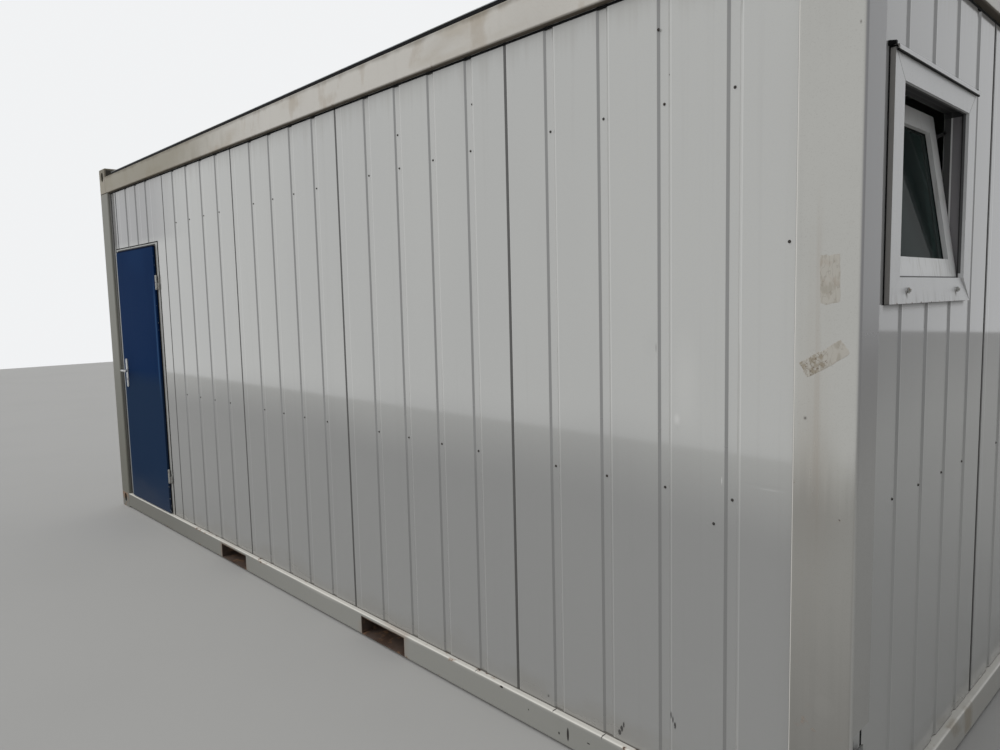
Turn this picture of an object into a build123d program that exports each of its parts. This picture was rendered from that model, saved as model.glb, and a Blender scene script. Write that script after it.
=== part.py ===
from build123d import *
import os

# Overall outside sizes: X along the length, the front wall faces -Y, Z up from the ground
length = 6055.0
width = 2435.0
height = 2800.0

# Clearances between pieces that seat on each other, and the open seam over each post
seat_gap = 0.3
seam_gap = 3.0

# Corner castings, top and bottom, and the stubs that the posts are bolted over
block_wall = 10.0
block_round = 9.0
slot_wide = 50.0
slot_tall = 75.0
lifting_hole_long = 100.0
lifting_hole_wide = 60.0
bottom_block_x = 165.0
bottom_block_y = 150.0
bottom_slot_in = 82.0
bottom_slot_z = 74.0
bottom_stub_tall = 283.0
top_block_x = 140.0
top_block_y = 150.0
top_slot_in = 75.0
top_slot_below = 66.0
top_stub_tall = 150.0
top_arm = 130.0
stub_inset = 12.0
stub_short = 9.0

# Floor frame
sheet = 4.0
floor_rail_bottom = 10.0
floor_rail_top = 121.5
rail_top_flange = 92.0
rail_bottom_flange = 58.0
rail_bend = 6.0
pocket_spacing = 1660.0
pocket_wide = 352.0
pocket_tall = 85.0
tunnel_wall = 4.0
tunnel_set_back = 0.5
member_wide = 40.0
member_sheet = 3.0
pocket_member_at = 220.0
inner_member_at = 305.0
outer_member_pitch = 450.0
outer_member_count = 3
under_sheet_thick = 2.0
deck_thick = 21.0

# Corner posts
post_front = 175.0
post_end = 130.0
post_bend = 8.0
access_top = 475.0
access_margin = 14.0

# Walls
wall_recess = 26.5
wall_thick = 60.0
panel_count = 5
panels_from_left = 78.0
panels_from_right = 110.0
end_panel_count = 2
panels_from_corner = 96.0
bays = 5
groove_wide = 47.0
groove_slope = 9.0
groove_deep = 5.0
joint_wide = 5.0
joint_deep = 8.0
joint_slope = 9.0
door_joint_shift = 54.0

# Roof frame, ceiling and roof
casting_above_rail = 69.0
roof_rail_tall = 131.0
inner_web_tall = 69.0
ceiling_above_rail_foot = 48.0
ceiling_thick = 10.0
beam_count = 9
beam_wide = 40.0
beam_pitch = 640.0
gasket_tall = 14.0
gasket_wide = 22.0
roof_inset = 3.0
roof_notch_x = 300.0
roof_notch_y = 165.0
roof_sheet_thick = 3.0
roof_rise = 28.0
roof_seam_count = 9
roof_seam_pitch = 600.0
roof_seam_tall = 18.0
roof_seam_wide = 12.0
roof_seam_set_back = 60.0
roof_seam_end = 45.0

# Door leaf and frame
leaf_from_corner = 272.5
leaf_wide = 820.0
leaf_bottom = 130.0
leaf_tall = 1990.0
leaf_lip = 13.0
leaf_body = 40.0
leaf_round = 1.2
lip_overlap = 20.0
leaf_clearance = 8.0
frame_show = 52.0
frame_head_show = 23.0
frame_proud = 2.0
frame_inside_proud = 6.0
seal_gap = 6.0
door_strip = 67.0
door_bay = 222.0
door_grooves = 3

# Door hinges
hinge_from_lip = 13.0
hinge_behind_face = 7.0
hinge_radius = 8.0
hinge_tall = 100.0
hinge_split = 2.0
hinge_pin_radius = 4.5
hinge_pin_clearance = 0.1
hinge_tongue = 6.0
hinge_plate = 27.0
hinge_heights = (411.0, 1850.0)

# Door levers, plates and key cylinders
spindle_in = 80.0
spindle_z = 1172.0
spindle_radius = 5.0
spindle_clearance = 1.0
plate_wide = 38.0
plate_tall = 230.0
plate_thick = 7.0
plate_drop = 21.0
neck_gap = 1.0
lever_reach = 135.0
lever_stand = 52.0
lever_tall = 16.0
lever_thick = 12.0
lever_bend = 14.0
key_drop = 72.0
key_radius = 8.5
key_proud = 4.0

# Window
casing_from_corner = 217.5
casing_wide = 738.0
casing_below_rail = 294.0
casing_tall = 680.0
casing_face = 75.0
casing_proud = 17.0
casing_mitre_gap = 0.5
sill_slope = 9.0
sill_bolt_radius = 9.0
sill_bolt_head = 6.0
sill_bolt_spacing = 454.0
drip_proud = 26.0
drip_thick = 3.0
drip_upstand = 12.0
drip_fall = 4.0
drip_lip = 10.0
window_cut_in = 20.0
window_frame_in = 60.0
window_frame_back = 3.0
sash_clearance = 7.0
sash_deep = 50.0
sash_face = 62.0
sash_tilt = 9.2
sash_hinge_long = 60.0
sash_hinge_deep = 12.0
glass_thick = 20.0
glass_rebate = 12.0

# Places worked out from the sizes above
half_x = length / 2
half_y = width / 2
wall_x = half_x - wall_recess
wall_y = half_y - wall_recess
wall_x_in = wall_x - wall_thick
wall_y_in = wall_y - wall_thick
wall_bottom = floor_rail_top + seat_gap
roof_rail_top = height - casting_above_rail
roof_rail_bottom = roof_rail_top - roof_rail_tall
inner_web_bottom = roof_rail_top - inner_web_tall
wall_top = roof_rail_top - sheet - seat_gap
deck_top = wall_bottom + deck_thick
rail_inside = rail_bend + sheet / 2 + seat_gap
tunnel_out_wide = pocket_wide + 2 * tunnel_wall
tunnel_out_tall = pocket_tall + 2 * tunnel_wall
frame_floor = floor_rail_bottom + sheet + seat_gap
pocket_z = frame_floor + tunnel_out_tall / 2
pocket_places = [(side * pocket_spacing / 2, 0, pocket_z) for side in (-1, 1)]
panel_pitch = (length - panels_from_left - panels_from_right) / panel_count
first_joint = -half_x + panels_from_left
end_panel_pitch = (width - 2 * panels_from_corner) / end_panel_count
end_first_joint = -half_y + panels_from_corner
ceiling_bottom = roof_rail_bottom + ceiling_above_rail_foot
ceiling_top = ceiling_bottom + ceiling_thick
gasket_bottom = roof_rail_top + seat_gap
roof_base = roof_rail_top + gasket_tall + seat_gap
edge_x = half_x - roof_inset
edge_y = half_y - roof_inset
leaf_left = -half_x + leaf_from_corner
leaf_right = leaf_left + leaf_wide
leaf_top = leaf_bottom + leaf_tall
leaf_face = -(wall_y + frame_proud + seal_gap + leaf_lip)
lip_back = leaf_face + leaf_lip
leaf_back = lip_back + leaf_body
frame_left = leaf_left - frame_show
frame_right = leaf_right + frame_show
frame_top = leaf_top + frame_head_show
frame_face = -(wall_y + frame_proud)
jamb_left = leaf_left + lip_overlap - leaf_clearance
jamb_right = leaf_right - lip_overlap + leaf_clearance
head_bottom = leaf_top - lip_overlap + leaf_clearance
door_joint = first_joint + panel_pitch + door_joint_shift
hinge_x = leaf_right + hinge_from_lip
hinge_y = leaf_face + hinge_behind_face
knuckle_tall = (hinge_tall - hinge_split) / 2
spindle_x = leaf_left + spindle_in
casing_left = -half_y + casing_from_corner
casing_right = casing_left + casing_wide
casing_top = roof_rail_bottom - casing_below_rail
casing_bottom = casing_top - casing_tall
casing_middle = casing_left + casing_wide / 2
pane_left = casing_left + window_frame_in
pane_right = casing_right - window_frame_in
pane_bottom = casing_bottom + window_frame_in
pane_top = casing_top - window_frame_in
sash_wide = casing_wide - 2 * (window_frame_in + sash_clearance)
sash_tall = casing_tall - 2 * (window_frame_in + sash_clearance)

os.makedirs("parts", exist_ok=True)


def block(x0, x1, y0, y1, z0, z1, mode=Mode.ADD):
    # a block between two opposite corners
    with Locations(((x0 + x1) / 2, (y0 + y1) / 2, (z0 + z1) / 2)):
        Box(abs(x1 - x0), abs(y1 - y0), abs(z1 - z0), mode=mode)


def to_all_corners():
    # the casting drawn at the near right corner is repeated at the other three
    mirror(about=Plane.YZ)
    mirror(about=Plane.XZ)


def hollow_casting(long, deep, low, high, slot_in, slot_z, hole_z, hole_side):
    # the inside of a corner block, a slot in both outer faces and a lifting hole
    block(
        half_x - long + block_wall,
        half_x - block_wall,
        -half_y + block_wall,
        -half_y + deep - block_wall,
        low + block_wall,
        high - block_wall,
        mode=Mode.SUBTRACT,
    )
    for place, out in (
        ((half_x - slot_in, -half_y, slot_z), (0, -1, 0)),
        ((half_x, -half_y + deep / 2, slot_z), (1, 0, 0)),
    ):
        with BuildSketch(Plane(place, x_dir=(0, 0, 1), z_dir=out)) as slot:
            SlotOverall(slot_tall, slot_wide)
        extrude(slot.sketch, amount=-1.5 * block_wall, mode=Mode.SUBTRACT)
    hole = (half_x - long / 2, -half_y + deep / 2, hole_z)
    with BuildSketch(Plane(hole, x_dir=(1, 0, 0), z_dir=(0, 0, hole_side))) as lifting_hole:
        SlotOverall(lifting_hole_long, lifting_hole_wide)
    extrude(lifting_hole.sketch, amount=-1.5 * block_wall, mode=Mode.SUBTRACT)


def stub(start, tall):
    # a bent plate on the casting, inside the end of the post
    inset = stub_inset + sheet / 2
    with BuildSketch(Plane.XY.offset(start)) as bent:
        with BuildLine():
            Polyline(
                (half_x - bottom_block_x + stub_short, -half_y + inset),
                (half_x - inset, -half_y + inset),
                (half_x - inset, -half_y + post_end - stub_inset),
            )
        trace(line_width=sheet)
    extrude(bent.sketch, amount=tall)


def floor_rail_section():
    # web outside, and two flanges to the inside that carry the walls and the deck
    with BuildLine() as fold:
        FilletPolyline(
            (rail_bottom_flange, floor_rail_bottom + sheet / 2),
            (sheet / 2, floor_rail_bottom + sheet / 2),
            (sheet / 2, floor_rail_top - sheet / 2),
            (rail_top_flange, floor_rail_top - sheet / 2),
            radius=rail_bend,
        )
    trace(fold.line, line_width=sheet)


def roof_rail_section():
    # web outside, a narrow flange under it, a top flange over the panels and an inner web
    with BuildLine() as fold:
        FilletPolyline(
            (wall_recess - seat_gap, roof_rail_bottom + sheet / 2),
            (sheet / 2, roof_rail_bottom + sheet / 2),
            (sheet / 2, roof_rail_top - sheet / 2),
            (rail_top_flange + sheet / 2, roof_rail_top - sheet / 2),
            (rail_top_flange + sheet / 2, inner_web_bottom),
            radius=rail_bend,
        )
    trace(fold.line, line_width=sheet)


def long_side(sign, start):
    # section plane across a long rail: its X runs inwards and its Y is up
    return Plane((sign * start, sign * half_y, 0), x_dir=(0, -sign, 0), z_dir=(-sign, 0, 0))


def short_side(sign, start):
    # section plane across an end rail: its X runs inwards and its Y is up
    return Plane((sign * half_x, -sign * start, 0), x_dir=(-sign, 0, 0), z_dir=(0, sign, 0))


def clear_of_castings():
    # room for the four top castings in whatever reaches under the roof corners
    low = roof_rail_bottom - seat_gap
    with Locations((0, 0, (low + height) / 2)):
        with GridLocations(length, width, 2, 2):
            Box(
                2 * (top_block_x + seat_gap),
                2 * (top_block_y + seat_gap),
                height - low,
                mode=Mode.SUBTRACT,
            )


def wall_plane(side):
    # X of the plane runs along the wall as seen from outside, Y of the plane runs inwards
    origin, along = {
        "front": ((0, -wall_y, 0), (1, 0, 0)),
        "rear": ((0, wall_y, 0), (-1, 0, 0)),
        "right": ((wall_x, 0, 0), (0, 1, 0)),
        "left": ((-wall_x, 0, 0), (0, -1, 0)),
    }[side]
    return Plane(origin, x_dir=along, z_dir=(0, 0, 1))


def wall_panel(side, start, stop, grooves, joints, slits=(), low=wall_bottom):
    # a sandwich panel: flat back, pressed grooves in its face, sloped and stepped edges at its joints
    half_gap = seat_gap / 2
    first_face = start + (joint_wide / 2 if joints[0] else half_gap)
    last_face = stop - (joint_wide / 2 if joints[1] else half_gap)
    notches = [(at, at + groove_slope, at + groove_wide, groove_slope, groove_deep) for at in grooves]
    for at in slits:
        slit_left = at - joint_wide / 2
        notches.append((slit_left - joint_slope, slit_left, slit_left + joint_wide, 0, joint_deep))
    points = [(start + half_gap, wall_thick)]
    if joints[0]:
        points += [(start + half_gap, joint_deep), (first_face, joint_deep)]
    points.append((first_face, 0))
    for left, floor_left, right, slope, deep in sorted(notches):
        points += [(left, 0), (floor_left, deep), (right - slope, deep), (right, 0)]
    if joints[1]:
        points += [(last_face - joint_slope, 0), (last_face, groove_deep)]
        points += [(last_face, joint_deep), (stop - half_gap, joint_deep)]
    else:
        points.append((last_face, 0))
    points.append((stop - half_gap, wall_thick))
    with BuildSketch(wall_plane(side).offset(low)) as outline:
        with BuildLine():
            Polyline(*points, close=True)
        make_face()
    extrude(outline.sketch, amount=wall_top - low)


def groove_places(start, pitch, shift=0.0):
    # the grooves of one panel part it into equal bays
    return [start + (k + 1) * pitch / bays + shift for k in range(bays - 1)]


# Bottom corner castings: hollow blocks with two slots and a hole below, and a stub for the post
with BuildPart() as bottom_castings:
    block(half_x - bottom_block_x, half_x, -half_y, -half_y + bottom_block_y, 0, floor_rail_top)
    fillet(bottom_castings.edges().filter_by(Axis.Z), block_round)
    hollow_casting(
        bottom_block_x, bottom_block_y, 0, floor_rail_top, bottom_slot_in, bottom_slot_z, 0, -1
    )
    stub(floor_rail_top, bottom_stub_tall)
    to_all_corners()
bottom_castings.part.label = "bottom_corner_castings"
export_step(bottom_castings.part, "parts/bottom_corner_castings.step")

# Top corner castings: blocks that stand above the roof, with rail ends welded on and a stub below
with BuildPart() as top_castings:
    block(half_x - top_block_x, half_x, -half_y, -half_y + top_block_y, roof_rail_bottom, height)
    upright = top_castings.edges().filter_by(Axis.Z)
    around_top = top_castings.faces().sort_by(Axis.Z)[-1].edges()
    fillet(upright + around_top, block_round)
    with BuildSketch(long_side(-1, -half_x + top_block_x + top_arm)):
        roof_rail_section()
    extrude(amount=top_arm + block_round)
    with BuildSketch(short_side(1, half_y - top_block_y + block_round)):
        roof_rail_section()
    extrude(amount=top_arm + block_round)
    hollow_casting(
        top_block_x, top_block_y, roof_rail_bottom, height, top_slot_in, height - top_slot_below, height, 1
    )
    stub(roof_rail_bottom - top_stub_tall, top_stub_tall)
    to_all_corners()
top_castings.part.label = "top_corner_castings"
export_step(top_castings.part, "parts/top_corner_castings.step")

# Long floor rails, with a cut-out in the web at each fork pocket
for name, sign in (("front_floor_rail", -1), ("rear_floor_rail", 1)):
    half_run = half_x - bottom_block_x - seat_gap
    with BuildPart() as floor_rail:
        with BuildSketch(long_side(sign, half_run)):
            floor_rail_section()
        extrude(amount=2 * half_run)
        with Locations((0, sign * half_y, 0)):
            with Locations(*pocket_places):
                Box(
                    tunnel_out_wide + 2 * seat_gap,
                    4 * sheet,
                    tunnel_out_tall + 2 * seat_gap,
                    mode=Mode.SUBTRACT,
                )
    floor_rail.part.label = name
    export_step(floor_rail.part, f"parts/{name}.step")

# End floor rails between the castings
for name, sign in (("left_floor_rail", -1), ("right_floor_rail", 1)):
    half_run = half_y - bottom_block_y - seat_gap
    with BuildPart() as end_floor_rail:
        with BuildSketch(short_side(sign, half_run)):
            floor_rail_section()
        extrude(amount=2 * half_run)
    end_floor_rail.part.label = name
    export_step(end_floor_rail.part, f"parts/{name}.step")

# Fork pocket tunnels: rectangular tubes right across the floor frame
with BuildPart() as tunnels:
    with Locations(*pocket_places):
        Box(tunnel_out_wide, width - 2 * tunnel_set_back, tunnel_out_tall)
        Box(pocket_wide, width, pocket_tall, mode=Mode.SUBTRACT)
tunnels.part.label = "fork_pocket_tunnels"
export_step(tunnels.part, "parts/fork_pocket_tunnels.step")

# Floor cross members: channels from rail to rail, beside the tunnels and between them
member_places = [0.0]
for side in (-1, 1):
    member_places.append(side * inner_member_at)
    member_places.append(side * (pocket_spacing / 2 - pocket_member_at))
    for i in range(outer_member_count + 1):
        outer_start = pocket_spacing / 2 + pocket_member_at
        member_places.append(side * (outer_start + i * outer_member_pitch))
member_bottom = frame_floor + under_sheet_thick + seat_gap
member_tall = floor_rail_top - member_bottom
member_half = half_y - rail_inside
with BuildPart() as members:
    for x in member_places:
        with Locations((x, 0, member_bottom + member_tall / 2)):
            Box(member_wide, 2 * member_half, member_tall)
        with Locations((x + member_sheet, 0, member_bottom + member_tall / 2)):
            Box(member_wide, width, member_tall - 2 * member_sheet, mode=Mode.SUBTRACT)
    for sign in (-1, 1):
        under_flange = floor_rail_top - sheet - seat_gap
        flange_edge = sign * (half_y - rail_top_flange - seat_gap)
        block(-half_x, half_x, flange_edge, sign * half_y, under_flange, deck_top, Mode.SUBTRACT)
members.part.label = "floor_cross_members"
export_step(members.part, "parts/floor_cross_members.step")

# Sheet under the floor, laid on the bottom flanges, beside and between the tunnels
with BuildPart() as under_sheet:
    end_x = half_x - bottom_block_x - seat_gap
    reach_y = half_y - rail_inside
    block(-end_x, end_x, -reach_y, reach_y, frame_floor, frame_floor + under_sheet_thick)
    with Locations(*pocket_places):
        Box(tunnel_out_wide + 2 * seat_gap, width, tunnel_out_tall + seat_gap, mode=Mode.SUBTRACT)
under_sheet.part.label = "underfloor_sheet"
export_step(under_sheet.part, "parts/underfloor_sheet.step")

# Floor deck between the walls
with BuildPart() as deck:
    deck_x = wall_x_in - seat_gap
    deck_y = wall_y_in - seat_gap
    block(-deck_x, deck_x, -deck_y, deck_y, wall_bottom, deck_top)
deck.part.label = "floor_deck"
export_step(deck.part, "parts/floor_deck.step")

# Corner posts: sheet bent round the corner and returned to the walls, open over the bolts at the foot
for name, side, row in (
    ("front_left_post", -1, -1),
    ("front_right_post", 1, -1),
    ("rear_left_post", -1, 1),
    ("rear_right_post", 1, 1),
):
    with BuildPart() as post:
        with BuildSketch(Plane.XY.offset(wall_bottom)):
            with BuildLine():
                FilletPolyline(
                    (side * (half_x - post_front + sheet / 2), row * (wall_y + seat_gap)),
                    (side * (half_x - post_front + sheet / 2), row * (half_y - sheet / 2)),
                    (side * (half_x - sheet / 2), row * (half_y - sheet / 2)),
                    (side * (half_x - sheet / 2), row * (half_y - post_end + sheet / 2)),
                    (side * (wall_x + seat_gap), row * (half_y - post_end + sheet / 2)),
                    radius=post_bend,
                )
            trace(line_width=sheet)
        extrude(amount=roof_rail_bottom - seam_gap - wall_bottom)
        block(
            side * wall_x,
            side * (half_x + sheet),
            row * (half_y - access_margin),
            row * (half_y - post_end - sheet),
            0,
            access_top,
            Mode.SUBTRACT,
        )
    post.part.label = name
    export_step(post.part, f"parts/{name}.step")

# Front wall: four panels at the panel pitch, the last with its grooves on the other side of each bay
with BuildPart() as front_panels:
    for i in range(1, panel_count):
        start = first_joint + i * panel_pitch
        left = door_joint if i == 1 else start
        last = i == panel_count - 1
        right = wall_x if last else start + panel_pitch
        places = groove_places(start, panel_pitch, -groove_wide if last else 0.0)
        wall_panel("front", left, right, places, joints=(True, not last))
    clear_of_castings()
front_panels.part.label = "front_wall_panels"
export_step(front_panels.part, "parts/front_wall_panels.step")

# The wall round the door: a strip on each side of it and a panel over it
with BuildPart() as door_side_left:
    wall_panel("front", -wall_x, frame_left, [], joints=(False, False))
    clear_of_castings()
door_side_left.part.label = "door_side_panel_left"
export_step(door_side_left.part, "parts/door_side_panel_left.step")

with BuildPart() as door_head:
    strip_at = frame_left + door_strip
    places = [strip_at + (k + 1) * door_bay for k in range(door_grooves)]
    wall_panel("front", frame_left, frame_right, places, (False, False), [strip_at], frame_top + seat_gap)
door_head.part.label = "door_head_panel"
export_step(door_head.part, "parts/door_head_panel.step")

with BuildPart() as door_side_right:
    wall_panel("front", frame_right, door_joint, [], joints=(False, True))
door_side_right.part.label = "door_side_panel_right"
export_step(door_side_right.part, "parts/door_side_panel_right.step")

# Rear wall: five panels and no opening
with BuildPart() as rear_panels:
    for i in range(panel_count):
        start = first_joint + i * panel_pitch
        last = i == panel_count - 1
        left = start if i > 0 else -wall_x
        right = wall_x if last else start + panel_pitch
        wall_panel("rear", left, right, groove_places(start, panel_pitch), (i > 0, not last))
    clear_of_castings()
rear_panels.part.label = "rear_wall_panels"
export_step(rear_panels.part, "parts/rear_wall_panels.step")


def end_panel(side, i):
    # one of the equal panels of an end wall, the first and the last reach the long walls
    start = end_first_joint + i * end_panel_pitch
    last = i == end_panel_count - 1
    left = start if i > 0 else -wall_y_in
    right = wall_y_in if last else start + end_panel_pitch
    wall_panel(side, left, right, groove_places(start, end_panel_pitch), (i > 0, not last))


# End walls between the long walls
with BuildPart() as left_end:
    for i in range(end_panel_count):
        end_panel("left", i)
    clear_of_castings()
left_end.part.label = "left_end_panels"
export_step(left_end.part, "parts/left_end_panels.step")

with BuildPart() as right_end_plain:
    for i in range(1, end_panel_count):
        end_panel("right", i)
    clear_of_castings()
right_end_plain.part.label = "right_end_panel_plain"
export_step(right_end_plain.part, "parts/right_end_panel_plain.step")

# The end panel that carries the window has its opening cut through
with BuildPart() as right_end_window:
    end_panel("right", 0)
    clear_of_castings()
    block(
        wall_x_in - sheet,
        wall_x + sheet,
        casing_left + window_cut_in,
        casing_right - window_cut_in,
        casing_bottom + window_cut_in,
        casing_top - window_cut_in,
        Mode.SUBTRACT,
    )
right_end_window.part.label = "right_end_panel_window"
export_step(right_end_window.part, "parts/right_end_panel_window.step")

# Long roof rails between the rail ends of the castings
for name, sign in (("front_roof_rail", -1), ("rear_roof_rail", 1)):
    half_run = half_x - top_block_x - top_arm - seat_gap
    with BuildPart() as roof_rail:
        with BuildSketch(long_side(sign, half_run)):
            roof_rail_section()
        extrude(amount=2 * half_run)
    roof_rail.part.label = name
    export_step(roof_rail.part, f"parts/{name}.step")

# End roof rails
for name, sign in (("left_roof_rail", -1), ("right_roof_rail", 1)):
    half_run = half_y - top_block_y - top_arm - seat_gap
    with BuildPart() as end_roof_rail:
        with BuildSketch(short_side(sign, half_run)):
            roof_rail_section()
        extrude(amount=2 * half_run)
    end_roof_rail.part.label = name
    export_step(end_roof_rail.part, f"parts/{name}.step")

# Roof cross beams: channels on the ceiling, from inner web to inner web
with BuildPart() as beams:
    beam_bottom = ceiling_top + seat_gap
    beam_tall = roof_rail_top - sheet - beam_bottom
    beam_half = half_y - rail_top_flange - sheet - seat_gap
    with Locations((0, 0, beam_bottom + beam_tall / 2)):
        with GridLocations(beam_pitch, width, beam_count, 1):
            Box(beam_wide, 2 * beam_half, beam_tall)
    with Locations((member_sheet, 0, beam_bottom + beam_tall / 2)):
        with GridLocations(beam_pitch, width, beam_count, 1):
            Box(beam_wide, width, beam_tall - 2 * member_sheet, mode=Mode.SUBTRACT)
beams.part.label = "roof_cross_beams"
export_step(beams.part, "parts/roof_cross_beams.step")

# Ceiling lining between the walls
with BuildPart() as ceiling:
    block(-deck_x, deck_x, -deck_y, deck_y, ceiling_bottom, ceiling_top)
    clear_of_castings()
ceiling.part.label = "ceiling_lining"
export_step(ceiling.part, "parts/ceiling_lining.step")

# Dark gasket under the edge of the roof, in four lengths between the castings
with BuildPart() as gasket:
    gasket_top = roof_base - seat_gap
    for sign in (-1, 1):
        inner_y = sign * (edge_y - gasket_wide)
        inner_x = sign * (edge_x - gasket_wide)
        run_x = half_x - roof_notch_x
        run_y = half_y - roof_notch_y
        block(-run_x, run_x, inner_y, sign * edge_y, gasket_bottom, gasket_top)
        block(inner_x, sign * edge_x, -run_y, run_y, gasket_bottom, gasket_top)
gasket.part.label = "roof_edge_gasket"
export_step(gasket.part, "parts/roof_edge_gasket.step")


def across(x):
    # a plane across the roof: its X runs along Y and its Y is up
    return Plane((x, 0, 0), x_dir=(0, 1, 0), z_dir=(1, 0, 0))


# Roof: a sheet with two low slopes, closed gable ends, seams dressed down at the eaves, and cut corners
with BuildPart() as roof:
    eaves = roof_base + roof_sheet_thick
    with BuildSketch(across(-edge_x)):
        with BuildLine():
            Polyline(
                (-edge_y, roof_base),
                (edge_y, roof_base),
                (edge_y, eaves),
                (0, eaves + roof_rise),
                (-edge_y, eaves),
                close=True,
            )
        make_face()
    extrude(amount=2 * edge_x)
    hollow_y = edge_y - gasket_wide
    with BuildSketch(across(-edge_x + gasket_wide)):
        with BuildLine():
            Polyline((-hollow_y, roof_base), (hollow_y, roof_base), (0, roof_base + roof_rise), close=True)
        make_face()
    extrude(amount=2 * (edge_x - gasket_wide), mode=Mode.SUBTRACT)
    seam_foot = roof_base + roof_sheet_thick / 2
    seam_crest = roof_base + roof_seam_tall
    seam_start = edge_y - roof_seam_set_back
    seam_full = seam_start - roof_seam_end
    start_rise = roof_rise * (1 - seam_start / edge_y)
    full_rise = roof_rise * (1 - seam_full / edge_y)
    for i in range(roof_seam_count):
        seam_x = (i - (roof_seam_count - 1) / 2) * roof_seam_pitch
        with BuildSketch(across(seam_x - roof_seam_wide / 2)):
            with BuildLine():
                Polyline(
                    (-seam_start, seam_foot + start_rise),
                    (0, seam_foot + roof_rise),
                    (seam_start, seam_foot + start_rise),
                    (seam_full, seam_crest + full_rise),
                    (0, seam_crest + roof_rise),
                    (-seam_full, seam_crest + full_rise),
                    close=True,
                )
            make_face()
        extrude(amount=roof_seam_wide)
    with Locations((0, 0, roof_base)):
        with GridLocations(length, width, 2, 2):
            Box(2 * roof_notch_x, 2 * roof_notch_y, height, mode=Mode.SUBTRACT)
roof.part.label = "roof_sheet"
export_step(roof.part, "parts/roof_sheet.step")

# Door frame: two jambs and a head through the wall, a little proud of it inside and outside
with BuildPart() as door_frame:
    frame_back = -wall_y_in + frame_inside_proud
    block(frame_left + seat_gap, frame_right - seat_gap, frame_face, frame_back, wall_bottom, frame_top)
    block(jamb_left, jamb_right, -half_y, 0, 0, head_bottom, Mode.SUBTRACT)
    block(-half_x, half_x, -wall_y_in, 0, 0, deck_top + seat_gap, Mode.SUBTRACT)
door_frame.part.label = "door_frame"
export_step(door_frame.part, "parts/door_frame.step")

# Threshold between the jambs, level with the deck
with BuildPart() as threshold:
    sill_left = jamb_left + seat_gap
    sill_right = jamb_right - seat_gap
    block(sill_left, sill_right, frame_face, -wall_y_in, wall_bottom, deck_top)
threshold.part.label = "door_threshold"
export_step(threshold.part, "parts/door_threshold.step")

# Door leaf: an outer lip that closes over the frame, and the body behind it
with BuildPart() as leaf:
    block(leaf_left, leaf_right, leaf_face, lip_back, leaf_bottom, leaf_top)
    fillet(leaf.faces().sort_by(Axis.Y)[0].edges(), leaf_round)
    block(
        leaf_left + lip_overlap,
        leaf_right - lip_overlap,
        lip_back,
        leaf_back,
        deck_top + leaf_clearance,
        leaf_top - lip_overlap,
    )
    with Locations(Plane((spindle_x, leaf_face, spindle_z), x_dir=(1, 0, 0), z_dir=(0, -1, 0))):
        Hole(radius=spindle_radius + spindle_clearance)
leaf.part.label = "door_leaf"
export_step(leaf.part, "parts/door_leaf.step")

# Fixed half of each hinge: the lower knuckle with its pin, and a tongue on the frame
with BuildPart() as frame_hinges:
    for z in hinge_heights:
        foot = z - hinge_tall / 2
        with Locations((hinge_x, hinge_y, foot)):
            Cylinder(hinge_radius, knuckle_tall, align=(Align.CENTER, Align.CENTER, Align.MIN))
            pin_tall = hinge_tall - hinge_split
            Cylinder(hinge_pin_radius, pin_tall, align=(Align.CENTER, Align.CENTER, Align.MIN))
        tongue_face = frame_face - hinge_tongue
        block(hinge_x, hinge_x + hinge_plate, tongue_face, frame_face, foot, foot + knuckle_tall)
frame_hinges.part.label = "door_hinges_frame_half"
export_step(frame_hinges.part, "parts/door_hinges_frame_half.step")

# Leaf half of each hinge: the upper knuckle over the pin, and a tongue on the edge of the lip
with BuildPart() as leaf_hinges:
    for z in hinge_heights:
        crown = z + hinge_tall / 2
        tongue_y = hinge_y - hinge_tongue / 2
        with Locations((hinge_x, hinge_y, crown)):
            Cylinder(hinge_radius, knuckle_tall, align=(Align.CENTER, Align.CENTER, Align.MAX))
        block(leaf_right, hinge_x, tongue_y, tongue_y + hinge_tongue, crown - knuckle_tall, crown)
        with Locations((hinge_x, hinge_y, crown)):
            Cylinder(
                hinge_pin_radius + hinge_pin_clearance,
                hinge_tall,
                align=(Align.CENTER, Align.CENTER, Align.MAX),
                mode=Mode.SUBTRACT,
            )
leaf_hinges.part.label = "door_hinges_leaf_half"
export_step(leaf_hinges.part, "parts/door_hinges_leaf_half.step")

# Cover plates on both faces of the leaf, each with its key cylinder
with BuildPart() as plates:
    for face, out in ((leaf_face, -1), (leaf_back, 1)):
        seat = Plane((spindle_x, face, spindle_z), x_dir=(-out, 0, 0), z_dir=(0, out, 0))
        with BuildSketch(seat):
            with Locations((0, -plate_drop)):
                SlotOverall(plate_tall, plate_wide, rotation=90)
            Circle(spindle_radius + spindle_clearance, mode=Mode.SUBTRACT)
        extrude(amount=plate_thick)
        with BuildSketch(seat.offset(plate_thick)):
            with Locations((0, -key_drop)):
                Circle(key_radius)
        extrude(amount=key_proud)
plates.part.label = "door_handle_plates"
export_step(plates.part, "parts/door_handle_plates.step")

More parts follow.
